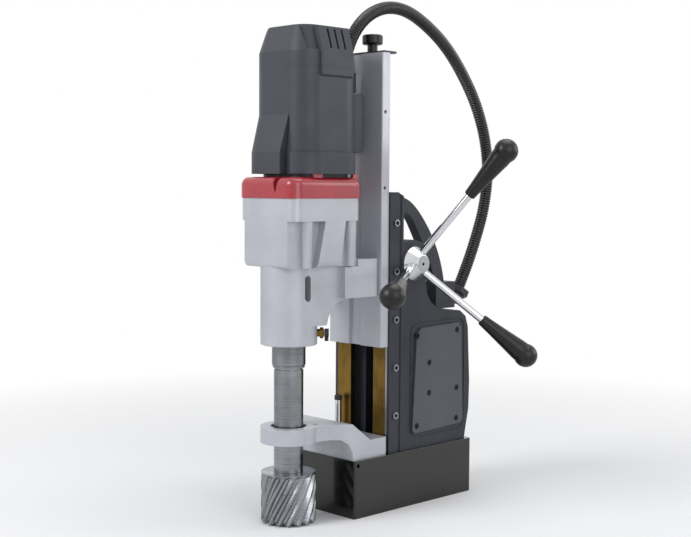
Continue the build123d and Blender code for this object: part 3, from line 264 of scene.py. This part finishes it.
# Ground steel: grey, with fine upright streaks from the grinding wheel.
GROUND_STEEL = Finish("ground steel", "a9abaf", "8c8e93", 0.28, metallic=1.0, grain=Grain.ALONG_Z,
                      grain_size=0.5)
# Turned steel: fine level rings from the lathe, which break the highlight into bands.
TURNED_STEEL = Finish("turned steel", "9b9da1", "6f7175", 0.24, metallic=1.0, grain=Grain.ROUND_Z,
                      grain_size=0.6)
# Ground high-speed steel of the cutter: mid grey, darker where the wheel burned it.
CUTTER_STEEL = Finish("ground high-speed steel", "a2a4a8", "6c6f74", 0.27, metallic=1.0, grain=Grain.ROUND_Z,
                      grain_size=0.8, relief=0.015)
# Black oxide on socket screws: dark, dull and a little oily.
BLACK_OXIDE = Finish("black oxide on steel", "2a2b2e", "1b1c1e", 0.36, metallic=0.8, grain_size=0.5,
                     edge=0.2, wear="6d6e72")
# Hard chrome on the rods and the stop pin: mirror-bright, with barely a grain.
HARD_CHROME = Finish("polished hard chrome", "d9dadd", "cbccd0", 0.07, metallic=1.0, spread=0.03,
                     grain_size=3.0, relief=0.002, edge=0.3)
# Drawn brass strip, brushed upright and tarnished: brown-gold streaks.
DRAWN_BRASS = Finish("drawn brass", "8a6d35", "5f4a22", 0.36, metallic=1.0, grain=Grain.ALONG_Z,
                     grain_size=0.7, relief=0.02)
# Enamelled copper wire cast in clear resin: red-brown and glossy.
COPPER_WINDING = Finish("enamelled copper winding", "9a4f24", "6e3414", 0.3, metallic=0.9,
                        grain=Grain.ALONG_Y, grain_size=0.8)
# Glass-filled nylon of the motor: dark grey with a fine spark-eroded texture that dulls its shine.
MOTOR_NYLON = Finish("glass-filled nylon", "3f424a", "383b42", 0.46, grain_size=0.7, relief=0.045,
                     edge=0.8, specular=0.35)
# Red gloss paint on the flange: even, with a clear gloss over it.
RED_GLOSS = Finish("red gloss paint", "ad2733", "9b212c", 0.26, spread=0.04, grain_size=2.0, relief=0.015,
                   coat=0.5, edge=1.0)
# Black phenolic of the grips and knobs, dulled by hands: satin, with soft and dim highlights.
BLACK_PHENOLIC = Finish("polished black phenolic", "0f0f11", "151518", 0.34, spread=0.04, grain_size=1.5,
                        relief=0.01, edge=0.5, specular=0.35)
# Black nylon of glands and small fittings: dull, with a fine moulded skin.
BLACK_NYLON = Finish("moulded black nylon", "1c1c1f", "151517", 0.42, grain_size=0.8, relief=0.03, edge=0.3)
# Extruded polyamide of the conduit: black, waxy, scuffed on its ridges.
CONDUIT_NYLON = Finish("extruded black polyamide", "141416", "1c1c1f", 0.34, grain_size=1.2, relief=0.02,
                       edge=0.2)
# Nitrile rubber of the bumper: matt and faintly dusty.
NITRILE = Finish("nitrile rubber", "1d1c1b", "2a2928", 0.7, grain_size=1.0, relief=0.03, edge=0.3)
# Coloured switch caps, moulded and polished.
GREEN_CAP = Finish("green polycarbonate", "1f8a3c", "1a7a34", 0.24, grain_size=1.5, relief=0.01, coat=0.3)
RED_CAP = Finish("red polycarbonate", "b3212a", "a01c25", 0.24, grain_size=1.5, relief=0.01, coat=0.3)
AMBER_LENS = Finish("amber polycarbonate", "e08a1c", "d07a14", 0.12, spread=0.03, grain_size=2.0,
                    relief=0.005, coat=0.5)
# Fibreglass board under green solder mask: flat and slightly glossy.
SOLDER_MASK = Finish("green solder mask", "17502b", "114022", 0.33, grain_size=0.8, relief=0.02)
# Stamped laminations: dark iron with level lines between the sheets.
LAMINATED_IRON = Finish("laminated iron", "55565a", "3b3c40", 0.45, metallic=0.9, grain=Grain.ROUND_Z,
                        grain_size=0.9)

NODE_FINISH: dict[Finish, str] = {
    BLACK_ENAMEL: "magnet_housing",
    GRAPHITE_COAT: "stand_frame junction_box",
    PLATE_PAINT: "side_cover control_panel",
    SILVER_PAINT: "support_arm ram gear_housing",
    TURNED_ALUMINIUM: "capstan_hub",
    MILLED_ALUMINIUM: "gear_plate",
    GROUND_STEEL: "magnet_core gib_strip rack pinion_shaft bearings layshaft gib_nuts pilot_pin",
    TURNED_STEEL: "spindle arbor",
    CUTTER_STEEL: "annular_cutter",
    BLACK_OXIDE: (
        "foot_screws gib_screws rack_screws ram_bolts hub_screw head_screws arbor_set_screws "
        "side_cover_screws pinion_bushes"
    ),
    HARD_CHROME: "stop_pin capstan_rods",
    DRAWN_BRASS: "left_gib right_gib brush_holders coolant_fitting",
    COPPER_WINDING: "magnet_coil",
    MOTOR_NYLON: "motor_housing motor_cap electronics_box",
    RED_GLOSS: "motor_flange_ring",
    BLACK_PHENOLIC: "top_knob capstan_grips speed_dial speed_selector",
    BLACK_NYLON: "cable_glands motor_gland rocker_frame magnet_rocker coolant_lever cooling_fan top_plate",
    CONDUIT_NYLON: "conduit",
    NITRILE: "stop_bumper",
    GREEN_CAP: "start_button",
    RED_CAP: "stop_button",
    AMBER_LENS: "indicator_lamp",
    SOLDER_MASK: "control_board",
    LAMINATED_IRON: "field_stator armature",
}


def dress(piece: bpy.types.Object, finish: Finish) -> bpy.types.Object:
    """Gives a piece one finish all over.

    Args:
        piece: A mesh piece or a CAD node.
        finish: Its finish.

    Returns:
        The same piece.
    """
    piece.data.materials.clear()
    piece.data.materials.append(finish.material())
    return piece


# ---- Mesh helpers ----
def mesh_piece(name: str, mesh: bpy.types.Mesh, sharp: float = 32.0) -> bpy.types.Object:
    """Puts a mesh in the scene with smooth faces and sharp creases.

    Args:
        name: Name of the piece.
        mesh: Its mesh, already in place.
        sharp: Angle in degrees above which an edge stays sharp.

    Returns:
        The object.
    """
    soft = bmesh.new()
    soft.from_mesh(mesh)
    for face in soft.faces:
        face.smooth = True
    for edge in soft.edges:
        edge.smooth = len(edge.link_faces) == 2 and edge.calc_face_angle(0.0) < radians(sharp)
    soft.to_mesh(mesh)
    soft.free()
    piece = bpy.data.objects.new(name, mesh)
    bpy.context.scene.collection.objects.link(piece)
    return piece


def baked(piece: bpy.types.Object, name: str) -> bpy.types.Object:
    """Turns an object with live modifiers into a plain mesh piece.

    Args:
        piece: Object whose modifiers are live. It is removed.
        name: Name of the new piece.

    Returns:
        The plain piece.
    """
    bpy.context.view_layer.update()
    graph = bpy.context.evaluated_depsgraph_get()
    mesh = bpy.data.meshes.new_from_object(piece.evaluated_get(graph), depsgraph=graph)
    mesh.name = name
    bpy.data.objects.remove(piece)
    return mesh_piece(name, mesh)


def lathed(profile: list[tuple[float, float]], segments: int) -> bmesh.types.BMesh:
    """Turns a profile about the Z axis.

    Args:
        profile: Radius and height of each point, in metres, from the bottom up. Ends on the axis are closed.
        segments: Steps round the axis.

    Returns:
        The closed shape.
    """
    shape = bmesh.new()
    rings = []
    for radius, height in profile:
        if radius < 1e-7:
            rings.append([shape.verts.new((0, 0, height))])
            continue
        rings.append(
            [
                shape.verts.new((radius * cos(tau * i / segments), radius * sin(tau * i / segments), height))
                for i in range(segments)
            ]
        )
    for low, high in zip(rings, rings[1:]):
        for i in range(segments):
            j = (i + 1) % segments
            corners = [low[i % len(low)], low[j % len(low)], high[j % len(high)], high[i % len(high)]]
            shape.faces.new(list(dict.fromkeys(corners)))
    return shape


def as_mesh(shape: bmesh.types.BMesh, name: str) -> bpy.types.Mesh:
    """Writes a shape to a mesh with its faces pointing outwards.

    Args:
        shape: Closed shape. It is freed.
        name: Name of the mesh.

    Returns:
        The mesh.
    """
    bmesh.ops.remove_doubles(shape, verts=shape.verts, dist=1e-6)
    bmesh.ops.recalc_face_normals(shape, faces=shape.faces)
    mesh = bpy.data.meshes.new(name)
    shape.to_mesh(mesh)
    shape.free()
    return mesh


@dataclass
class Planting:
    """Geometry Nodes tree that sets copies of one piece on the points of a carrier mesh."""

    label: str = "set pieces on places"

    def tree(self) -> bpy.types.NodeTree:
        """Builds the tree once, with Piece, Size and Finish as its inputs.

        Returns:
            The tree.
        """
        if self.label in bpy.data.node_groups:
            return bpy.data.node_groups[self.label]
        sockets = (
            ("Places", "NodeSocketGeometry"), ("Piece", "NodeSocketObject"), ("Size", "NodeSocketFloat"),
            ("Finish", "NodeSocketMaterial"),
        )
        tree = new_geometry_tree(self.label, sockets, "Pieces")
        given = add_node(tree, "NodeGroupInput").outputs
        piece = add_node(
            tree, "GeometryNodeObjectInfo", {"transform_space": "ORIGINAL"}, Object=given["Piece"]
        )
        turn = add_node(tree, "GeometryNodeInputNamedAttribute", {"data_type": "FLOAT_VECTOR"}, Name="turn")
        copies = add_node(
            tree, "GeometryNodeInstanceOnPoints", Points=given["Places"], Instance=piece.outputs["Geometry"],
            Rotation=turn.outputs[0], Scale=given["Size"],
        )
        solid = add_node(tree, "GeometryNodeRealizeInstances", Geometry=copies.outputs[0])
        dressed = add_node(
            tree, "GeometryNodeSetMaterial", Geometry=solid.outputs[0], Material=given["Finish"]
        )
        add_node(tree, "NodeGroupOutput", Pieces=dressed.outputs[0])
        return tree

    def plant(
        self, name: str, piece: bpy.types.Mesh, places: list[tuple[Vector, Vector]], finish: Finish
    ) -> bpy.types.Object:
        """Sets copies of a mesh that was made along +Z.

        Args:
            name: Name of the result.
            piece: The mesh to repeat.
            places: Origin and direction of each copy.
            finish: Finish of the result.

        Returns:
            One plain mesh piece with every copy.
        """
        original = bpy.data.objects.new(name + "_one", piece)
        bpy.context.scene.collection.objects.link(original)
        carrier_mesh = bpy.data.meshes.new(name + "_places")
        carrier_mesh.from_pydata([place for place, _ in places], [], [])
        turns = carrier_mesh.attributes.new("turn", "FLOAT_VECTOR", "POINT")
        for i, (_, direction) in enumerate(places):
            turns.data[i].vector = direction.to_track_quat("Z", "Y").to_euler()
        carrier = bpy.data.objects.new(name, carrier_mesh)
        bpy.context.scene.collection.objects.link(carrier)
        values = {"Piece": original, "Size": 1.0, "Finish": finish.material()}
        set_inputs(carrier, "planting", self.tree(), values)
        result = baked(carrier, name)
        bpy.data.objects.remove(original)
        return result


PLANTING = Planting()


def take_place(piece: bpy.types.Object, body: str, *nodes: str) -> None:
    """Lets a finished piece ride on a body in place of CAD nodes.

    Args:
        piece: The finished piece.
        body: Body that carries it.
        *nodes: CAD nodes that it stands for.
    """
    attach(piece, body)
    for node in nodes:
        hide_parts(node)
    log.info("%s rides on %s and stands for %s", piece.name, body, ", ".join(nodes) or "nothing")


# ---- Conduit ----
@dataclass
class Conduit:
    """Corrugated conduit from the motor's gland over the back to the stand's gland."""

    diameter: float = 0.0155
    ridge_pitch: float = 0.0034
    ridge_depth: float = 0.0011
    length: float = 0.591
    steps_per_ridge: float = 6.0
    ridge_sharpness: float = 4.0
    sides: int = 24
    route: list[tuple[float, float]] = field(
        default_factory=lambda: [
            (-0.079, 0.533), (-0.071, 0.559), (-0.055, 0.584), (-0.031, 0.603), (0.0, 0.613), (0.034, 0.611),
            (0.072, 0.595), (0.108, 0.572), (0.139, 0.541), (0.168, 0.503), (0.188, 0.459), (0.196, 0.412),
            (0.188, 0.363), (0.171, 0.322), (0.154, 0.287), (0.136, 0.257),
        ]
    )

    def centre_line(self) -> bpy.types.Object:
        """Draws the route as one smooth open curve.

        Returns:
            The curve object.
        """
        curve = bpy.data.curves.new("conduit_line", "CURVE")
        curve.dimensions = "3D"
        curve.resolution_u = 12
        spline = curve.splines.new("NURBS")
        spline.points.add(len(self.route) - 1)
        for point, (y, z) in zip(spline.points, self.route):
            point.co = (0, y, z, 1)
        spline.order_u = 3
        spline.use_endpoint_u = True
        line = bpy.data.objects.new("conduit_line", curve)
        bpy.context.scene.collection.objects.link(line)
        return line

    def tree(self) -> bpy.types.NodeTree:
        """Builds the tree that wraps ridges round the curve, with its sizes as inputs.

        Returns:
            The tree.
        """
        sockets = (
            ("Line", "NodeSocketGeometry"), ("Radius", "NodeSocketFloat"), ("Pitch", "NodeSocketFloat"),
            ("Depth", "NodeSocketFloat"), ("Finish", "NodeSocketMaterial"),
        )
        tree = new_geometry_tree("corrugated tube", sockets, "Tube")
        given = add_node(tree, "NodeGroupInput").outputs
        step = add_node(
            tree, "ShaderNodeMath", {"operation": "DIVIDE"}, i0=given["Pitch"], i1=self.steps_per_ridge
        )
        fine = add_node(
            tree, "GeometryNodeResampleCurve", {"mode": "LENGTH"},
            Curve=given["Line"], Length=step.outputs[0],
        )
        along = add_node(tree, "GeometryNodeSplineParameter").outputs["Length"]
        turns = add_node(tree, "ShaderNodeMath", {"operation": "DIVIDE"}, i0=along, i1=given["Pitch"])
        angle = add_node(tree, "ShaderNodeMath", {"operation": "MULTIPLY"}, i0=turns.outputs[0], i1=pi)
        wave = add_node(tree, "ShaderNodeMath", {"operation": "SINE"}, i0=angle.outputs[0])
        dip = add_node(
            tree, "ShaderNodeMath", {"operation": "POWER"}, i0=wave.outputs[0], i1=self.ridge_sharpness
        )
        sunk = add_node(
            tree, "ShaderNodeMath", {"operation": "MULTIPLY"}, i0=dip.outputs[0], i1=given["Depth"]
        )
        radius = add_node(
            tree, "ShaderNodeMath", {"operation": "SUBTRACT"}, i0=given["Radius"], i1=sunk.outputs[0]
        )
        ring = add_node(tree, "GeometryNodeCurvePrimitiveCircle", Resolution=self.sides, Radius=1.0)
        tube = add_node(
            tree, "GeometryNodeCurveToMesh", Curve=fine.outputs[0], Profile_Curve=ring.outputs[0],
            Scale=radius.outputs[0], Fill_Caps=True,
        )
        solid = add_node(tree, "GeometryNodeRealizeInstances", Geometry=tube.outputs[0])
        dressed = add_node(
            tree, "GeometryNodeSetMaterial", Geometry=solid.outputs[0], Material=given["Finish"]
        )
        add_node(tree, "NodeGroupOutput", Tube=dressed.outputs[0])
        return tree

    def build(self) -> None:
        """Makes the tube and bends it along its route between the head and the stand."""
        line = self.centre_line()
        bpy.context.view_layer.update()
        graph = bpy.context.evaluated_depsgraph_get()
        sampled = bpy.data.meshes.new_from_object(line.evaluated_get(graph), depsgraph=graph)
        values = {
            "Radius": self.diameter / 2, "Pitch": self.ridge_pitch, "Depth": self.ridge_depth,
            "Finish": CONDUIT_NYLON.material(),
        }
        set_inputs(line, "ridges", self.tree(), values)
        tube = baked(line, "corrugated_conduit")
        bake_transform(tube)
        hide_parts("conduit")
        log.info("conduit: %.0f mm on %d route points", self.length / MM, len(self.route))


# ---- Capstan ----
@dataclass
class Capstan:
    """Grips of the three-arm feed. Lengths are in metres, angles in degrees."""

    arms: int = 3
    first_angle: float = 70.0
    tilt: float = 35.0
    reach: float = 0.1455
    segments: int = 48
    neck: float = 0.0070
    ball: float = 0.0145
    length: float = 0.084
    hub_offset: float = 0.004
    mouth_share: float = 0.82
    mouth_rim: float = 0.0012
    swell_share: float = 0.90
    swell_end: float = 0.88
    swell_power: float = 1.15
    taper_steps: int = 16
    ball_steps: int = 12
    ball_start: float = -28.0

    def directions(self) -> list[tuple[Vector, Vector]]:
        """Works out the grips' places from the hub's box and the arms' angles.

        Returns:
            Start and direction of each grip.
        """
        low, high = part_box("capstan_hub")
        axis_z = (low.z + high.z) / 2
        hub = Vector((low.x - self.hub_offset, 0, axis_z))
        tilt = radians(self.tilt)
        reach = self.reach / cos(tilt)
        places = []
        for i in range(self.arms):
            angle = radians(self.first_angle - 360 / self.arms * i)
            way = Vector((sin(tilt), cos(tilt) * cos(angle), cos(tilt) * sin(angle)))
            places.append((hub + way * (reach - self.length + self.ball), way))
        return places

    def grip(self) -> bpy.types.Mesh:
        """Turns one grip: a thin neck that swells into a ball.

        Returns:
            The grip's mesh, along +Z from the origin.
        """
        taper = self.length - self.ball
        profile = [(0.0, 0.0), (self.neck * self.mouth_share, 0.0), (self.neck, self.mouth_rim)]
        for i in range(1, self.taper_steps):
            share = i / self.taper_steps
            swell = self.neck + (self.ball * self.swell_share - self.neck) * (share**self.swell_power)
            profile.append((swell, self.mouth_rim + (taper * self.swell_end - self.mouth_rim) * share))
        for i in range(self.ball_steps + 1):
            angle = radians(self.ball_start + (90 - self.ball_start) * i / self.ball_steps)
            size = self.ball * cos(angle) if i < self.ball_steps else 0.0
            profile.append((size, taper + self.ball * sin(angle)))
        return as_mesh(lathed(profile, self.segments), "grip")

    def build(self) -> None:
        """Sets the grips on their rods."""
        grips = PLANTING.plant("tapered_grips", self.grip(), self.directions(), BLACK_PHENOLIC)
        take_place(grips, "capstan", "capstan_grips")


# ---- Cutter ----
@dataclass
class Cutter:
    """Annular cutter with slanting flutes and a toothed rim. Lengths are in metres."""

    teeth: int = 16
    steps: int = 12
    levels: int = 44
    flute_depth: float = 0.0034
    tooth_height: float = 0.0042
    slant: float = 30.0
    wall: float = 0.006
    shank: float = 0.0095
    bore: float = 0.0040
    plain_top: float = 0.001
    land: float = 0.28
    body_height: float = 0.0585
    run_out: float = 0.0025
    inner_foot: float = 0.0022
    roof: float = 0.009
    shoulder: float = 0.0012
    shank_edge: float = 0.001
    tooth_fall: float = 1.35
    front_slope: float = 5.0
    back_slope: float = 2.2
    crease: float = 28.0

    def flute(self, phase: float) -> float:
        """Shapes the flute across one tooth.

        Args:
            phase: Place across the tooth, from 0 to 1.

        Returns:
            Depth, from 0 on the land to 1 on the flute's floor.
        """
        if phase < self.land:
            return 0.0
        share = (phase - self.land) / (1 - self.land)
        return min(1.0, share * self.front_slope) * min(1.0, (1 - share) * self.back_slope)

    def wall_ring(
        self, shape: bmesh.types.BMesh, axis: Vector, radius: float, foot: float, level: int
    ) -> list[bmesh.types.BMVert]:
        """Adds one level of the fluted wall; the lowest level carries the teeth.

        Args:
            shape: Shape that gets the points.
            axis: Point on the cutter's axis at height zero.
            radius: Radius over the lands.
            foot: Height of the tooth tips.
            level: Level, counted from the teeth up.

        Returns:
            The level's points.
        """
        around = self.teeth * self.steps
        share = level / self.levels
        rise = share * self.body_height
        fade = min(1.0, max(0.0, (self.body_height - self.plain_top - rise) / self.run_out))
        ring = []
        for i in range(around):
            angle = tau * i / around
            phase = (angle / tau * self.teeth) % 1.0
            tooth = self.tooth_height * min(1.0, max(0.0, 1.0 - phase * self.tooth_fall))
            lift = self.tooth_height - tooth if level == 0 else 0.0
            deep = radius - self.flute_depth * self.flute(phase) * fade
            turned = angle + self.lean(radius) * share
            height = foot + max(rise, lift)
            ring.append(shape.verts.new(axis + Vector((deep * cos(turned), deep * sin(turned), height))))
        return ring

    def lean(self, radius: float) -> float:
        """Turn of a flute from its foot to its head.

        Args:
            radius: Radius over the lands.

        Returns:
            The turn in radians.
        """
        return self.body_height * tan(radians(self.slant)) / radius

    def round_ring(
        self, shape: bmesh.types.BMesh, axis: Vector, size: float, height: float, start: float = 0.0
    ) -> list[bmesh.types.BMVert]:
        """Adds one round ring about the cutter's axis.

        Args:
            shape: Shape that gets the points.
            axis: Point on the cutter's axis at height zero.
            size: Radius of the ring.
            height: Height of the ring.
            start: Angle of its first point, in radians.

        Returns:
            The ring's points.
        """
        around = self.teeth * self.steps
        angles = [tau * i / around + start for i in range(around)]
        return [shape.verts.new(axis + Vector((size * cos(a), size * sin(a), height))) for a in angles]

    def build(self) -> None:
        """Builds the fluted shell with its top, shank and bore."""
        low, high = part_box("annular_cutter")
        radius = (high.x - low.x) / 2
        axis = Vector(((low.x + high.x) / 2, (low.y + high.y) / 2, 0))
        foot, head = low.z, low.z + self.body_height
        inner = [
            (self.bore, head - self.roof), (radius - self.wall, head - self.roof),
            (radius - self.wall, foot + self.inner_foot),
        ]
        upper = [
            (radius - self.shoulder, head), (self.shank, head), (self.shank, high.z - self.shank_edge),
            (self.shank - self.shank_edge, high.z), (self.bore, high.z),
        ]
        shape = bmesh.new()
        chain = [self.round_ring(shape, axis, size, z) for size, z in inner]
        chain += [self.wall_ring(shape, axis, radius, foot, level) for level in range(self.levels + 1)]
        chain += [self.round_ring(shape, axis, size, z, self.lean(radius)) for size, z in upper]
        around = self.teeth * self.steps
        for below, above in zip(chain, chain[1:] + chain[:1]):
            for i in range(around):
                j = (i + 1) % around
                shape.faces.new((below[i], below[j], above[j], above[i]))
        cutter = mesh_piece("fluted_cutter", as_mesh(shape, "fluted_cutter"), self.crease)
        take_place(dress(cutter, CUTTER_STEEL), "spindle", "annular_cutter")


# ---- Studio ----
@dataclass
class Studio:
    """Floor, soft lights, white surroundings and the camera. Lengths are in metres."""

    eye: tuple[float, float, float] = (1.0687, -1.1149, 0.3933)
    azimuth: float = 45.72
    dip: float = 3.86
    roll: float = 0.34
    sensor: float = 36.0
    lens: float = 64.5
    surround: float = 0.32
    floor_radius: float = 6.0
    aim_at: tuple[float, float, float] = (0.0, -0.03, 0.3)

    def camera(self) -> None:
        """Stands the camera where the machine is seen from its front right corner."""
        data = bpy.data.cameras.new("camera")
        data.sensor_width = self.sensor
        data.lens = self.lens
        camera = bpy.data.objects.new("camera", data)
        heading = Matrix.Rotation(radians(self.azimuth), 4, "Z")
        tilt = Matrix.Rotation(radians(90 - self.dip), 4, "X")
        roll = Matrix.Rotation(radians(self.roll), 4, "Z")
        camera.matrix_world = Matrix.Translation(self.eye) @ heading @ tilt @ roll
        bpy.context.scene.collection.objects.link(camera)
        bpy.context.scene.camera = camera

    def lamp(self, name: str, place: tuple[float, float, float], size: float, power: float) -> None:
        """Adds a square soft box that faces the machine.

        Args:
            name: Name of the lamp.
            place: Its position.
            size: Side of the square.
            power: Watts.
        """
        data = bpy.data.lights.new(name, "AREA")
        data.size = size
        data.energy = power
        lamp = bpy.data.objects.new(name, data)
        aim = Vector(self.aim_at) - Vector(place)
        lamp.matrix_world = Matrix.Translation(place) @ aim.to_track_quat("-Z", "Y").to_matrix().to_4x4()
        bpy.context.scene.collection.objects.link(lamp)

    def surroundings(self) -> None:
        """Lights the scene dimly all round, and is white to the camera, to gloss and through glass."""
        world = bpy.data.worlds.new("studio")
        bpy.context.scene.world = world
        world.use_nodes = True
        tree = world.node_tree
        tree.nodes.clear()
        rays = add_node(tree, "ShaderNodeLightPath").outputs
        clear = add_node(
            tree, "ShaderNodeMath", {"operation": "MAXIMUM"},
            i0=rays["Is Camera Ray"], i1=rays["Is Transmission Ray"],
        )
        seen = add_node(
            tree, "ShaderNodeMath", {"operation": "MAXIMUM"}, i0=clear.outputs[0], i1=rays["Is Glossy Ray"]
        )
        dim = add_node(tree, "ShaderNodeBackground", Color=linear("dfe3ea"), Strength=self.surround)
        white = add_node(tree, "ShaderNodeBackground", Color=(1, 1, 1, 1), Strength=1.0)
        mixed = add_node(
            tree, "ShaderNodeMixShader", i0=seen.outputs[0], i1=dim.outputs[0], i2=white.outputs[0]
        )
        add_node(tree, "ShaderNodeOutputWorld", Surface=mixed.outputs[0])

    def floor(self) -> None:
        """Lays a plain pale floor that keeps the machine's shadow and runs white towards the back."""
        shape = bmesh.new()
        bmesh.ops.create_circle(shape, cap_ends=True, segments=96, radius=self.floor_radius)
        mesh = bpy.data.meshes.new("floor")
        shape.to_mesh(mesh)
        shape.free()
        floor = bpy.data.objects.new("floor", mesh)
        bpy.context.scene.collection.objects.link(floor)
        material = bpy.data.materials.new("pale studio floor")
        material.use_nodes = True
        tree = material.node_tree
        shader = tree.nodes["Principled BSDF"]
        shader.inputs["Base Color"].default_value = linear("f4f4f4")
        shader.inputs["Roughness"].default_value = 0.9
        place = add_node(tree, "ShaderNodeTexCoord").outputs["Object"]
        reach = add_node(tree, "ShaderNodeVectorMath", {"operation": "LENGTH"}, i0=place)
        far = add_node(tree, "ShaderNodeMapRange", Value=reach.outputs["Value"], i1=0.35, i2=1.1)
        rays = add_node(tree, "ShaderNodeLightPath").outputs
        direct = add_node(
            tree, "ShaderNodeMath", {"operation": "MAXIMUM"},
            i0=rays["Is Camera Ray"], i1=rays["Is Transmission Ray"],
        )
        share = add_node(
            tree, "ShaderNodeMath", {"operation": "MULTIPLY"}, i0=far.outputs[0], i1=direct.outputs[0]
        )
        glow = add_node(tree, "ShaderNodeEmission", Color=(1, 1, 1, 1), Strength=1.0)
        mixed = add_node(
            tree, "ShaderNodeMixShader", i0=share.outputs[0], i1=shader.outputs[0], i2=glow.outputs[0]
        )
        tree.links.new(mixed.outputs[0], tree.nodes["Material Output"].inputs["Surface"])
        mesh.materials.append(material)

    def build(self) -> None:
        """Sets up the whole studio."""
        self.camera()
        self.surroundings()
        self.floor()
        self.lamp("key", (-0.5, -1.9, 1.4), 1.0, 26)
        self.lamp("fill", (1.9, -0.5, 0.9), 1.4, 11)
        self.lamp("top", (0.1, 0.3, 2.0), 1.4, 16)
        self.lamp("rear", (1.2, 1.6, 0.9), 1.0, 8)
        bpy.context.scene.view_settings.view_transform = "Standard"
        log.info("studio: camera at %s", self.eye)


def main() -> None:
    """Dresses the frame, builds the detailed pieces and sets up the studio."""
    logging.basicConfig(level=logging.INFO, format="%(name)s: %(message)s")
    Studio().build()
    for finish, nodes in NODE_FINISH.items():
        for node in nodes.split():
            dress(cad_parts[node], finish)
    Conduit().build()
    Capstan().build()
    Cutter().build()


if __name__ == "__main__":
    main()
